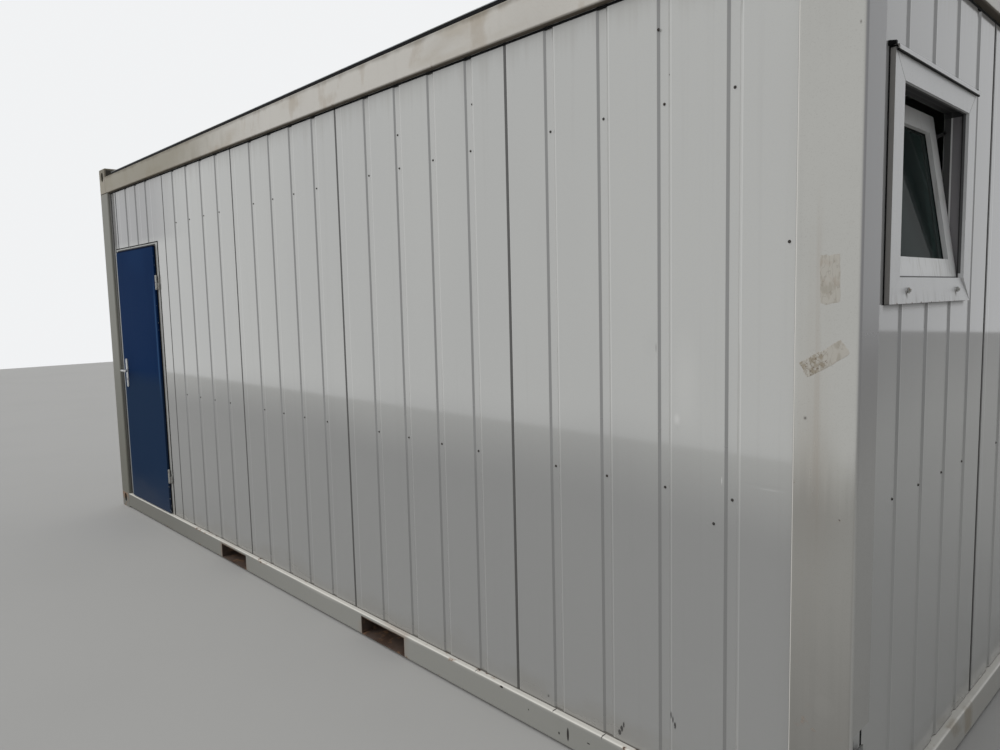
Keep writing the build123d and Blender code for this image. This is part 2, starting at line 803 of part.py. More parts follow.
# Levers on both sides: oval bars bent through a right angle, on one spindle through the leaf
with BuildPart() as levers:
    outer_reach = leaf_face - plate_thick - lever_stand + lever_thick / 2
    inner_reach = leaf_back + plate_thick + lever_stand - lever_thick / 2
    for neck_y, reach_y in (
        (leaf_face - plate_thick - neck_gap, outer_reach),
        (leaf_back + plate_thick + neck_gap, inner_reach),
    ):
        with BuildLine(Plane.XY.offset(spindle_z)) as bar:
            FilletPolyline(
                (spindle_x, neck_y),
                (spindle_x, reach_y),
                (spindle_x + lever_reach, reach_y),
                radius=lever_bend,
            )
        with BuildSketch(Plane(bar.line @ 0, x_dir=(1, 0, 0), z_dir=bar.line % 0)):
            Ellipse(lever_thick / 2, lever_tall / 2)
        sweep(path=bar.line)
    with BuildSketch(Plane((spindle_x, outer_reach, spindle_z), x_dir=(1, 0, 0), z_dir=(0, 1, 0))):
        Circle(spindle_radius)
    extrude(amount=inner_reach - outer_reach)
levers.part.label = "door_levers"
export_step(levers.part, "parts/door_levers.step")


def casing_board(corners):
    # one mitred board of the casing, drawn on the face of the end wall and raised from it
    with BuildSketch(Plane((wall_x, 0, 0), x_dir=(0, 1, 0), z_dir=(1, 0, 0))) as board:
        with BuildLine():
            Polyline(*corners, close=True)
        make_face()
    extrude(board.sketch, amount=casing_proud)


# Window casing: two side boards and a head board with mitred corners
with BuildPart() as casing:
    low = casing_bottom + casing_mitre_gap
    high = casing_top - casing_mitre_gap
    for outer, inner in (
        (casing_left, casing_left + casing_face),
        (casing_right, casing_right - casing_face),
    ):
        casing_board([(outer, low), (outer, high), (inner, high - casing_face), (inner, low + casing_face)])
    left = casing_left + casing_mitre_gap
    right = casing_right - casing_mitre_gap
    inner_top = casing_top - casing_face
    inner_left = left + casing_face
    inner_right = right - casing_face
    casing_board([(left, casing_top), (right, casing_top), (inner_right, inner_top), (inner_left, inner_top)])
casing.part.label = "window_casing"
export_step(casing.part, "parts/window_casing.step")

# Plate under the window: mitred like the casing, with a face that slopes outwards, and two bolts
with BuildPart() as sill_plate:
    inner_low = casing_bottom + casing_face
    sill_foot = [(left, casing_bottom), (right, casing_bottom)]
    casing_board(sill_foot + [(inner_right, inner_low), (inner_left, inner_low)])
    slope_foot = wall_x + casing_proud
    with BuildSketch(Plane((0, casing_left, 0), x_dir=(1, 0, 0), z_dir=(0, -1, 0))):
        with BuildLine():
            Polyline(
                (slope_foot, casing_bottom),
                (slope_foot, inner_low),
                (slope_foot - sill_slope, inner_low),
                close=True,
            )
        make_face()
    extrude(amount=-casing_wide, mode=Mode.SUBTRACT)
    bolt_foot = (slope_foot - sill_slope / 2, casing_middle, casing_bottom + casing_face / 2)
    with BuildSketch(Plane(bolt_foot, x_dir=(0, 1, 0), z_dir=(casing_face, 0, sill_slope))):
        with GridLocations(sill_bolt_spacing, casing_face, 2, 1):
            RegularPolygon(sill_bolt_radius, 6)
    extrude(amount=sill_bolt_head)
sill_plate.part.label = "window_sill_plate"
export_step(sill_plate.part, "parts/window_sill_plate.step")

# Drip flashing over the window: an upstand on the wall, a sloping top and a lip
with BuildPart() as drip:
    drip_low = casing_top + seat_gap + drip_thick / 2
    with BuildSketch(Plane((0, casing_left, 0), x_dir=(1, 0, 0), z_dir=(0, -1, 0))):
        with BuildLine():
            Polyline(
                (wall_x + seat_gap + drip_thick / 2, drip_low + drip_fall + drip_upstand),
                (wall_x + seat_gap + drip_thick / 2, drip_low + drip_fall),
                (wall_x + drip_proud - drip_thick / 2, drip_low),
                (wall_x + drip_proud - drip_thick / 2, drip_low - drip_lip),
            )
        trace(line_width=drip_thick)
    extrude(amount=-casing_wide)
drip.part.label = "window_drip_flashing"
export_step(drip.part, "parts/window_drip_flashing.step")

# Window frame in the opening, with the two hinge blocks that carry the sash
with BuildPart() as window_frame:
    cut_in = window_cut_in + seat_gap
    frame_front = wall_x - window_frame_back
    block(
        wall_x_in,
        frame_front,
        casing_left + cut_in,
        casing_right - cut_in,
        casing_bottom + cut_in,
        casing_top - cut_in,
    )
    block(wall_x_in, frame_front, pane_left, pane_right, pane_bottom, pane_top, Mode.SUBTRACT)
    for end, sign in ((pane_left, 1), (pane_right, -1)):
        hinge_start = end + sign * sash_clearance
        block(
            wall_x_in,
            wall_x_in + sash_hinge_deep,
            hinge_start,
            hinge_start + sign * sash_hinge_long,
            pane_bottom,
            pane_bottom + sash_clearance - seat_gap,
        )
window_frame.part.label = "window_frame"
export_step(window_frame.part, "parts/window_frame.step")


def sash_plane(forward=0.0):
    # the back face of the sash, tilted inwards about its lower edge
    pivot = (wall_x_in + sash_hinge_deep / 2, casing_middle, pane_bottom + sash_clearance)
    out = Vector(1, 0, 0).rotate(Axis.Y, -sash_tilt)
    return Plane(pivot, x_dir=(0, 1, 0), z_dir=out).offset(forward)


# Tilted sash: a frame of four stiles, with a groove for the glass
with BuildPart() as sash:
    with BuildSketch(sash_plane()):
        with Locations((0, sash_tall / 2)):
            Rectangle(sash_wide, sash_tall)
            Rectangle(sash_wide - 2 * sash_face, sash_tall - 2 * sash_face, mode=Mode.SUBTRACT)
    extrude(amount=sash_deep)
    groove_half = glass_rebate + seat_gap
    with BuildSketch(sash_plane((sash_deep - glass_thick) / 2 - seat_gap)):
        with Locations((0, sash_tall / 2)):
            Rectangle(
                sash_wide - 2 * sash_face + 2 * groove_half,
                sash_tall - 2 * sash_face + 2 * groove_half,
            )
    extrude(amount=glass_thick + 2 * seat_gap, mode=Mode.SUBTRACT)
sash.part.label = "window_sash"
export_step(sash.part, "parts/window_sash.step")

# Sealed glass unit in the sash
with BuildPart() as glass:
    with BuildSketch(sash_plane((sash_deep - glass_thick) / 2)):
        with Locations((0, sash_tall / 2)):
            Rectangle(
                sash_wide - 2 * sash_face + 2 * glass_rebate,
                sash_tall - 2 * sash_face + 2 * glass_rebate,
            )
    extrude(amount=glass_thick)
glass.part.label = "window_glass"
export_step(glass.part, "parts/window_glass.step")
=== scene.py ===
import bmesh
import bpy
import numpy as np
from mathutils import Matrix, Vector


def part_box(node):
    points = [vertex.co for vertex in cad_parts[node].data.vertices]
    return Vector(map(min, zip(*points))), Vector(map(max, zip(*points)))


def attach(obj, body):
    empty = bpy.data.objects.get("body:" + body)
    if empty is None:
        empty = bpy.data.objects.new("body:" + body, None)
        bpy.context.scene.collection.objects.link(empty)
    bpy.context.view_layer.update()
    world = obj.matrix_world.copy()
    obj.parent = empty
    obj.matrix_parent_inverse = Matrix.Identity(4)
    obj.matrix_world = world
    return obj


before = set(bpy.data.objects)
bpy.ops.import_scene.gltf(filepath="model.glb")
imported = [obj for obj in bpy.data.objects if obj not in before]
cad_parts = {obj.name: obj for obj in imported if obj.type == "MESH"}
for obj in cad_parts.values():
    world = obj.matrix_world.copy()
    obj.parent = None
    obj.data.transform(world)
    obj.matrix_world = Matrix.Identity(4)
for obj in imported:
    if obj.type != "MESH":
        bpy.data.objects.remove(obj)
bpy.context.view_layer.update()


# Bottom corner castings and floor rails: hollow steel blocks and cold-bent rails of 4 mm sheet,
# welded together and sprayed pale grey. Forks and straps have chipped the paint along the ledge,
# and rust creeps out of the chips, the slots and the seams.


def arithmetic(operation):
    """A method that adds the Math node for one operation on a value, or on it and another."""
    return lambda self, other=0: self.finish.add("Math", {"operation": operation}, {0: self, 1: other})


class Wire:
    """A number or colour inside a finish; arithmetic on it adds the Math node that works it out."""

    def __init__(self, finish, socket):
        self.finish = finish
        self.socket = socket

    __add__ = __radd__ = arithmetic("ADD")
    __sub__ = arithmetic("SUBTRACT")
    __mul__ = __rmul__ = arithmetic("MULTIPLY")
    __mod__ = arithmetic("MODULO")
    __abs__ = arithmetic("ABSOLUTE")
    sign = arithmetic("SIGN")
    larger = arithmetic("MAXIMUM")

    def __rsub__(self, other):
        return self.finish.add("Math", {"operation": "SUBTRACT"}, {0: other, 1: self})

    def rise(self, start, full):
        """0 up to start, 1 from full on, and a smooth step between; start may be above full."""
        sockets = {"Value": self, "From Min": start, "From Max": full}
        return self.finish.add("MapRange", {"interpolation_type": "SMOOTHSTEP"}, sockets)

    def band(self, middle, half, soft):
        """1 within half of the middle value, fading to 0 over soft."""
        return abs(self - middle).rise(half + soft, half)


def light(colour, shade):
    """The light values of a colour given as a screen shows it, 0 to 255, darkened by a shade."""
    shown = np.array(colour) / 255
    linear = np.where(shown <= 0.04045, shown / 12.92, ((shown + 0.055) / 1.055) ** 2.4)
    return (*(shade * linear).tolist(), 1)


class Finish:
    """A finish laid in coats: each coat shows its colour, gloss and thickness where its mask is 1."""

    def __init__(self, name, colour, rough):
        self.material = bpy.data.materials.new(name)
        self.material.use_nodes = True
        self.tree = self.material.node_tree
        self.tree.nodes.clear()
        self.colour = light(colour, 1)
        self.rough = rough
        self.height = 0
        self.where = self.add("TexCoord", out="Object")
        self.x, self.y, self.z = self.apart(self.where)

    def add(self, kind, settings=None, values=None, out=0):
        """Any node: its settings first, then the values or links of its sockets, and one output back."""
        node = self.tree.nodes.new("ShaderNode" + kind)
        for key, value in (settings or {}).items():
            setattr(node, key, value)
        for key, value in (values or {}).items():
            if isinstance(value, Wire):
                self.tree.links.new(value.socket, node.inputs[key])
            else:
                node.inputs[key].default_value = value
        return Wire(self, node.outputs[out]) if out is not None else None

    def apart(self, vector):
        """The three numbers of a vector or colour."""
        node = self.add("SeparateXYZ", values={"Vector": vector}).socket.node
        return [Wire(self, socket) for socket in node.outputs]

    def facing(self):
        """Which way the surface faces, as three numbers."""
        return self.apart(self.add("TexCoord", out="Normal"))

    def mix(self, mask, under, over):
        """The colour over covers the colour under as far as the mask lets it."""
        return self.add("Mix", {"data_type": "RGBA"}, {0: mask, 6: under, 7: over}, out=2)

    def clouds(self, per_metre, detail=3, long=(1, 1, 1), shift=0):
        """Cloudy values round a half, so many clouds to the metre, drawn out along an axis by long."""
        scale = tuple(per_metre / s for s in long)
        sockets = {"Vector": self.where, "Location": (shift, shift, shift), "Scale": scale}
        at = self.add("Mapping", values=sockets)
        return self.add("TexNoise", values={"Vector": at, "Scale": 1, "Detail": detail})

    def spot(self, place, size, soft=1):
        """1 in a rounded patch of these half sizes about a place, fading over the soft outer part."""
        offset = self.add("VectorMath", {"operation": "SUBTRACT"}, {0: self.where, 1: place})
        scaled = self.add("VectorMath", {"operation": "DIVIDE"}, {0: offset, 1: size})
        far = self.add("VectorMath", {"operation": "LENGTH"}, {0: scaled}, out=1)
        return far.rise(1, 1 - soft)

    def coat(self, mask, colour, rough=None, height=0, shade=1):
        """One more coat; a factor on its mask thins it, and height is in millimetres above the last."""
        self.colour = self.mix(mask, self.colour, light(colour, shade))
        if rough is not None:
            self.rough = self.rough + mask * (rough - self.rough)
        if height:
            self.height += mask * height

    def mottle(self, share, clouds, levels, *look, **more):
        """A coat that shows where clouds rise between two levels, thinned to a share."""
        self.coat(share * self.clouds(*clouds).rise(*levels), *look, **more)

    def dress(self, *nodes):
        """The finish goes into the material slots of CAD nodes, whose shapes stay as they are."""
        for name in nodes:
            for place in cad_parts[name].material_slots:
                place.material = self.material

    def close(self, *nodes, **fixed):
        """Join the coats to the shader, with the values that are fixed all over, and dress CAD nodes."""
        values = {"Base Color": self.colour, "Roughness": self.rough}
        if isinstance(self.height, Wire):
            values["Normal"] = self.add("Bump", values={"Distance": 0.001, "Height": self.height})
        for key, value in fixed.items():
            values[key.replace("_", " ")] = value
        shader = self.add("BsdfPrincipled", values=values)
        self.add("OutputMaterial", values={"Surface": shader}, out=None)
        self.dress(*nodes)


rust_dark = (64, 48, 38)
rust_light = (128, 98, 72)
road_dust = (126, 122, 113)
grime = (96, 88, 76)


def sprayed_steel(name, colour, rough):
    """Sprayed paint on steel: its tone drifts, its skin is like orange peel, and rain has left runs."""
    paint = Finish(name, colour, rough)
    paint.mottle(0.7, (1.3, 4), (0.42, 0.7), colour, shade=0.86)
    paint.mottle(0.25, (22, 2, (1, 1, 26)), (0.52, 0.78), colour, rough + 0.12, shade=0.86)
    paint.mottle(0.16, (300, 2), (0.55, 0.75), grime, rough + 0.15)
    paint.height = 0.05 * paint.clouds(210, 2)
    return paint


def chipped(paint, mask, flakes=60):
    """Chips where the clouds rise above a level that the mask lowers, with a rusty halo round them."""
    grain = paint.clouds(flakes, detail=6, shift=3) + 0.16 * mask
    paint.coat(0.6 * mask.rise(0, 0.9) * grain.rise(0.66, 0.78), rust_light, 0.7)
    paint.coat(grain.rise(0.785, 0.8), rust_dark, 0.85, -0.25)


def grid(rows, columns, round_rows=False, round_columns=True):
    """The quads of a grid of points; a round direction runs on from its last line to its first."""
    row = np.arange(rows if round_rows else rows - 1)[:, None]
    column = np.arange(columns if round_columns else columns - 1)[None, :]
    next_row, next_column = (row + 1) % rows, (column + 1) % columns
    corners = (
        row * columns + column,
        row * columns + next_column,
        next_row * columns + next_column,
        next_row * columns + column,
    )
    return np.stack(np.broadcast_arrays(*corners), -1).reshape(-1, 4)


def linked(name, points, quads, finish):
    """A new object from points and quads that wears a finish."""
    mesh = bpy.data.meshes.new(name)
    mesh.from_pydata(points.tolist(), [], quads.tolist())
    mesh.materials.append(finish.material)
    made = bpy.data.objects.new(name, mesh)
    bpy.context.collection.objects.link(made)
    return made


def piece(name, shells, finish, body="cabin"):
    """A new piece from shells of points and quads: doubles merged, poles closed, faces outwards."""
    starts = np.cumsum([0] + [len(points) for points, quads in shells])
    points = np.concatenate([points for points, quads in shells])
    quads = np.concatenate([quads + start for (_, quads), start in zip(shells, starts)])
    made = linked(name, points, quads, finish)
    mesh = made.data
    work = bmesh.new()
    work.from_mesh(mesh)
    bmesh.ops.remove_doubles(work, verts=work.verts, dist=1e-6)
    bmesh.ops.recalc_face_normals(work, faces=work.faces)
    work.to_mesh(mesh)
    work.free()
    mesh.polygons.foreach_set("use_smooth", np.ones(len(mesh.polygons), bool))
    mesh.set_sharp_from_angle(angle=np.radians(38))
    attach(made, body)


def unit(vector):
    """The vector, or each row of vectors, at length 1."""
    vector = np.asarray(vector, float)
    return vector / np.linalg.norm(vector, axis=-1, keepdims=True)


def circle(sides):
    """The cosines and sines of equal steps once round."""
    turn = np.arange(sides) * 2 * np.pi / sides
    return np.cos(turn), np.sin(turn)


def weld_bead(start, stop, radius, ripple=0.005):
    """A rounded bead: a circle carried from start to stop, its radius swelling with each drop."""
    start, stop = np.array(start, float), np.array(stop, float)
    run = np.linalg.norm(stop - start)
    along = (stop - start) / run
    side = unit(np.cross(along, (0.3, 0.5, 0.8)))
    other = np.cross(along, side)
    s = np.linspace(0, run, 3 * int(run / ripple) + 1)
    thick = radius * (1 + np.sin(2 * np.pi * s / ripple) / 7)
    thick[[0, -1]] = 0
    ring = np.stack(circle(8), 1) @ np.stack([side, other])
    points = start + s[:, None, None] * along + thick[:, None, None] * ring
    return points.reshape(-1, 3), grid(len(s), 8)


half_x, half_y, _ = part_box("bottom_corner_castings")[1]
rail_foot, rail_top = (corner.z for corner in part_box("front_floor_rail"))
block_x, block_y = 0.165, 0.15
seam_in = 0.0025
pocket_x, pocket_half = 0.83, 0.176


def inside_casting(paint):
    """1 on the inner faces of the corner blocks, behind walls of 10 mm."""
    inside_end = abs(paint.x).rise(half_x - 0.009, half_x - 0.013)
    return inside_end * abs(paint.y).rise(half_y - 0.009, half_y - 0.013)


def corner_welds(seams, low, high):
    """Upright beads on the outer faces at each corner: reach along x and y, radius, depth under the face."""
    beads = []
    for side_x, side_y in ((-1, -1), (-1, 1), (1, -1), (1, 1)):
        for reach_x, reach_y, radius, deep in seams:
            for x, y in ((half_x - reach_x, half_y - deep), (half_x - deep, half_y - reach_y)):
                beads.append(weld_bead((side_x * x, side_y * y, low), (side_x * x, side_y * y, high), radius))
    return beads


base = sprayed_steel("floor_frame_paint", (178, 176, 169), 0.42)
flat_clouds = base.clouds(7, 4, (3, 3, 1))
at_end = abs(base.x).rise(half_x - 0.028, half_x - 0.008)
# Painted shade and ground reflection, with a little road dust: the rail faces are painted darker, less at the
# ends.
film = (0.8 - 0.55 * at_end) * (base.z + 0.04 * flat_clouds).rise(0.16, 0.125)
base.coat(film, (124, 124, 119), 0.6)
base.coat(0.6 * base.x.rise(0.5, -2.4), (88, 86, 78), 0.7)
# Painted highlight: the ledge tops, which face up, are painted lighter as if lit from above.
lit_ledge_tops = base.facing()[2].rise(0.45, 0.62) * base.z.rise(0.11, 0.115)
base.coat(0.8 * lit_ledge_tops, (214, 211, 203), 0.5)
end_stain = at_end * base.clouds(4, 4, shift=8).rise(0.58, 0.68)
base.coat(0.45 * end_stain, (124, 106, 76), 0.75)
at_mouth = abs(base.x).band(pocket_x, pocket_half, 0.05)
base.coat(0.35 * at_mouth * flat_clouds.rise(0.4, 0.65), rust_light, 0.8)
ledge = base.z.band(rail_top, 0.004, 0.022)
foot = base.z.band(rail_foot, 0.004, 0.02)
corner = abs(base.x).rise(half_x - 0.22, half_x - 0.1) * abs(base.y).rise(half_y - 0.25, half_y - 0.16)
patchy = base.clouds(2.3, 2, shift=9).rise(0.45, 0.62)
chipped(base, patchy * (0.9 * ledge + 0.8 * foot) + 0.25 * at_mouth + 0.3 * corner, 34)
chipped(base, 0.8 * base.z.rise(0.135, 0.16), 35)
at_slot = base.z.band(0.074, 0.03, 0.035) * corner
rusted = (base.clouds(24, 5, (1, 1, 2)) + 0.1 * at_slot).rise(0.52, 0.66)
base.coat(0.7 * at_slot * rusted, rust_light, 0.85)
knocks = (
    ((2.021, -half_y, 0.062), 0.006, 0.03),
    ((1.977, -half_y, 0.049), 0.0045, 0.006),
    ((2.119, -half_y, 0.069), 0.008, 0.003),
    ((1.668, -half_y, 0.114), 0.011, 0.005),
    ((1.819, -half_y, 0.078), 0.003, 0.004),
    ((1.505, -1.203, rail_top), 0.0022, 0.012),
    ((1.944, -1.203, rail_top), 0.003, 0.01),
    ((2.179, -1.206, rail_top), 0.0026, 0.022),
)
for place, wide, tall in knocks:
    base.coat(base.spot(place, (wide, 0.016, tall), 0.3), (38, 35, 33), 0.8, -0.3)
# Painted shade on the rail where it runs in under the wall panels.
gap_shade = abs(base.y).rise(1.195, 1.193) * base.z.rise(0.1, 0.11)
gap_shade *= abs(base.x).rise(half_x - 0.05, half_x - 0.07)
base.coat(0.8 * gap_shade, (58, 54, 48), 0.85)
base.coat(0.85 * base.z.rise(0.135, 0.15), (94, 96, 94), 0.6)
base.coat(0.9 * inside_casting(base) * base.z.rise(0.106, 0.102), (46, 38, 32), 0.9)
base.dress("front_floor_rail", "rear_floor_rail", "left_floor_rail", "right_floor_rail")
base.close("bottom_corner_castings")

floor_seams = [(block_x - seam_in, block_y - seam_in, 0.0042, 0.0052)]
piece("floor_frame_welds", corner_welds(floor_seams, rail_foot, rail_top - 0.004), base)


# Fork pocket tunnels and floor cross members: rectangular tubes and channels of bare rolled steel
# that was only primed. Inside, fork tines have scraped them and they have rusted brown all over.

rusty = Finish("rusty_tunnel_steel", (74, 62, 54), 0.8)
rusty.mottle(1, (9, 5), (0.42, 0.62), rust_dark, 0.88, 0.15)
rusty.mottle(0.7, (26, 6), (0.55, 0.7), rust_light, 0.9, 0.12)
rusty.mottle(0.6, (120, 3, (1, 12, 1)), (0.58, 0.72), (44, 40, 38), 0.5, -0.1)
rusty.height += 0.25 * rusty.clouds(160, 4)
rusty.close("fork_pocket_tunnels", "floor_cross_members")


# Sheet under the floor: thin galvanised steel on the bottom flanges, with the flowery pattern of
# cooled zinc. It is riveted up to the cross members, and mud has dried on it.


def turned(profile, sides):
    """A profile of (radius, height) points turned round the Z axis; radius 0 is a pole."""
    profile = np.array(profile, float)
    across, deep = (profile[:, :1] * part for part in circle(sides))
    high = np.repeat(profile[:, 1:], sides, axis=1)
    points = np.stack([across, deep, high], -1).reshape(-1, 3)
    return points, grid(len(profile), sides)


def seated(shell, places, out, across=(0, 0, 1)):
    """Copies of a shell with its foot at each place, its Z axis along out and its X axis along across."""
    out, across = unit(out), unit(across)
    points = shell[0] @ np.stack([across, np.cross(out, across), out])
    places = np.atleast_2d(np.array(places, float))
    quads = shell[1] + len(points) * np.arange(len(places))[:, None, None]
    return (places[:, None] + points).reshape(-1, 3), quads.reshape(-1, 4)


def lattice(*lines):
    """Every place whose coordinates are one value from each of three lines."""
    return np.stack(np.meshgrid(*lines, indexing="ij"), -1).reshape(-1, 3)


def spangle(finish, per_metre):
    """The random shade of each zinc crystal, so many crystals to the metre."""
    values = {"Vector": finish.where, "Scale": per_metre}
    return finish.apart(finish.add("TexVoronoi", values=values, out="Color"))[0]


zinc = Finish("galvanised_under_sheet", (126, 129, 130), 0.45)
zinc.coat(0.5 * spangle(zinc, 34), (158, 161, 163), 0.32)
zinc.mottle(0.75, (2.4, 5), (0.46, 0.66), road_dust, 0.85, 0.2)
zinc.mottle(0.5, (11, 5), (0.6, 0.72), rust_light, 0.8)
zinc.close("underfloor_sheet", Metallic=0.55)

rivet = turned([(0, 0), (0.0055, 0), (0.005, 0.0014), (0.0028, 0.0026), (0, 0.003)], 10)
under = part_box("underfloor_sheet")[0].z
member_x = [side * x for x in (0.305, 0.61, 1.05, 1.5, 1.95, 2.4) for side in (-1, 1)] + [0]
under_rivets = lattice(member_x, np.linspace(-1.12, 1.12, 8), [under])
piece("underfloor_rivets", [seated(rivet, under_rivets, (0, 0, -1), (1, 0, 0))], zinc)


# Floor deck: resin-bonded plywood sheets with a brown film, laid on the cross members. Road dust lies
# in patches over the film, and the joints between sheets hold dirt.

board_joints = (-1.83, -0.61, 0.61, 1.83)
deck = Finish("film_faced_floor", (104, 92, 76), 0.45)
deck.mottle(0.5, (3, 5, (9, 1, 1)), (0.42, 0.66), (82, 70, 56))
deck.mottle(0.6, (1.1, 4), (0.45, 0.65), road_dust, 0.75)
deck.mottle(0.3, (420, 1), (0.55, 0.7), (66, 56, 46))
for joint_x in board_joints:
    deck.coat(deck.x.band(joint_x, 0.001, 0.0012), (38, 33, 28), 0.8, -1)
deck.height += 0.06 * deck.clouds(330, 2)
deck.close("floor_deck")


# Corner posts: 4 mm sheet bent round the corner and returned to the walls, bolted over the stubs of
# the castings through the openings at the foot. The near post has torn tape and brown runs on it.

post = sprayed_steel("post_paint", (171, 170, 164), 0.08)
front_face = post.y.rise(-half_y + 0.025, -half_y + 0.01)
near_face = front_face * post.x.rise(half_x - 0.19, half_x - 0.17)
runs = post.clouds(30, 4, (1, 1, 34))
stain = post.spot((2.9, -half_y, 1.2), (0.09, 0.3, 0.85)) * near_face
post.coat(0.3 * stain * (runs + 0.2 * stain).rise(0.4, 0.66), (150, 142, 130), 0.5)
low_stain = post.spot((2.93, -half_y, 1.12), (0.1, 0.3, 0.24)) * near_face
post.coat(0.4 * low_stain, (148, 143, 134), 0.5)
run_line = near_face * post.x.band(2.921, 0.002, 0.012) * post.z.band(1.45, 0.3, 0.25)
post.coat(0.22 * run_line * runs.rise(0.36, 0.55), (134, 116, 96), 0.55)
for chip_x, chip_z, wide in ((2.889, 1.329, 0.0065), (3.011, 2.319, 0.0035), (2.822, 2.299, 0.002)):
    post.coat(0.9 * post.spot((chip_x, -half_y, chip_z), (wide, 0.02, 0.007)), (70, 64, 56), 0.6)
smear = post.spot((2.952, -half_y, 0.538), (0.035, 0.05, 0.038), 0.35)
post.coat(0.12 * smear, (206, 204, 198), 0.6)
on_end = abs(post.x).rise(half_x - 0.007, half_x - 0.002)
# Painted reflection of the ground: the lower part of the posts is painted darker, with a ragged edge.
low_post_reflection = 0.55 * (post.z + 0.2 * runs).rise(1.36, 1.16) + 0.35 * (post.z + 0.4 * runs).rise(1.2, 0.4)
post.coat(low_post_reflection * (1 - on_end), (112, 110, 105), 0.2)
# Painted shade: the posts' end faces are painted darker, more so higher up.
post.coat((0.22 + 0.74 * post.z.rise(1, 1.7)) * on_end, (120, 119, 120), 0.3)
post.coat(0.92 * front_face * post.x.rise(-2.8, -2.86), (88, 87, 75), 0.5)
# Painted highlight: a light line along the near post's bend.
bend_highlight = near_face * post.x.band(half_x - 0.173, 0.0022, 0.002)
post.coat(0.85 * bend_highlight, (218, 215, 208))
opening = post.z.band(0.475, 0.004, 0.03) + post.z.rise(0.17, 0.125)
edge = abs(post.y).rise(half_y - 0.035, half_y - 0.012)
chipped(post, 0.35 * opening * edge + 0.7 * post.z.rise(2.5, 2.59) + 0.14 * edge, 40)
post.close("front_left_post", "front_right_post", "rear_left_post", "rear_right_post", IOR=1.8)

bolt_steel = Finish("zinc_plated_bolts", (142, 140, 134), 0.42)
bolt_steel.mottle(1, (70, 4), (0.48, 0.62), rust_dark, 0.85, 0.1)
bolt_steel.mottle(0.5, (24, 3), (0.5, 0.7), road_dust, 0.8)
bolt_steel.close(Metallic=0.6)

stub_face = half_x - 0.012
washer_thick = 0.003
bolt_head = turned([(0, 0), (0.0138, 0), (0.0138, 0.007), (0.0122, 0.0086), (0, 0.0086)], 6)
washer = turned([(0, 0), (0.0165, 0), (0.0165, 0.0024), (0.015, washer_thick), (0, washer_thick)], 24)
bolts = []
for side in (-1, 1):
    spots = lattice([side * stub_face], (-half_y + 0.068, half_y - 0.068), (0.2, 0.325))
    bolts.append(seated(washer, spots, (side, 0, 0)))
    bolts.append(seated(bolt_head, spots + (side * washer_thick, 0, 0), (side, 0, 0)))
piece("post_foot_bolts", bolts, bolt_steel)

tape = Finish("torn_paper_tape", (170, 166, 157), 0.6)
tape.mottle(0.6, (60, 5, (1, 1, 3)), (0.5, 0.62), (146, 140, 128), 0.7, -0.05)
tape.coat(0.3 * tape.clouds(34, 4, shift=2).rise(0.56, 0.66), (162, 150, 138), 0.7)
# Painted shade along the creases, which a bump raises.
creases = tape.clouds(46, 2, (1, 1, 2), shift=4).band(0.5, 0.006, 0.012)
tape.coat(0.35 * creases, (122, 116, 106), 0.7, 0.1)
low_tape = 0.7 * tape.z.rise(1.54, 1.52) * tape.x.rise(2.95, 2.94)
tape.coat(low_tape * tape.clouds(70, 5).rise(0.46, 0.6), (134, 124, 106), 0.8, -0.08)
tape.coat(low_tape * tape.clouds(64, 3, shift=6).band(0.5, 0.008, 0.014), (92, 74, 58), 0.8)
tape.height += 0.08 * tape.clouds(420, 3)
tape.close()


def torn_patch(middle, wide, tall, lean, seed):
    """A thin film: rings of a rounded rectangle, its rim torn by a sum of waves of random phase."""
    draw = np.random.default_rng(seed)
    turn = np.linspace(0, 2 * np.pi, 72, endpoint=False)
    waves = np.arange(3, 19)
    phase = draw.uniform(0, 2 * np.pi, len(waves))
    rim = 1 + (np.sin(turn[:, None] * waves + phase) * 0.3 / waves**0.75).sum(1) * 0.1
    square = (np.abs(np.cos(turn)) ** 14 + np.abs(np.sin(turn)) ** 14) ** (-1 / 14)
    ring = np.array([0, 0.35, 0.65, 0.9, 0.98, 1, 0])[:, None]
    lift = np.array([0.28, 0.26, 0.28, 0.25, 0.2, 0, 0])[:, None] * 0.001
    across = ring * rim * square * np.cos(turn) * wide / 2
    up = ring * rim * square * np.sin(turn) * tall / 2
    lean = np.radians(lean)
    x = middle[0] + across * np.cos(lean) - up * np.sin(lean)
    z = middle[1] + across * np.sin(lean) + up * np.cos(lean)
    points = np.stack([x, -half_y - lift + 0 * across, z], -1)
    return points.reshape(-1, 3), grid(len(ring), len(turn))


tape_patches = [
    torn_patch((2.948, 1.697), 0.052, 0.126, 1, 11),
    torn_patch((2.91, 1.474), 0.066, 0.046, 30, 15),
    torn_patch((2.964, 1.506), 0.066, 0.044, 34, 16),
]
piece("post_tape_residue", tape_patches, tape)


# Wall panels: foam-filled sandwich panels of thin steel, coil-coated pale grey, pressed into bays by
# shallow grooves and screwed to the frame through them. The front has dents near the big post.

bays = 5
front_pitch, end_pitch = 1.1734, 1.1215
front_start, end_start = -2.9495, -1.1215
near_shift = 0.047
front_joints = [-1.7221] + [front_start + i * front_pitch for i in (2, 3, 4)]
rear_joints = [-front_start - i * front_pitch for i in (1, 2, 3, 4)]
groove_slope = -0.57

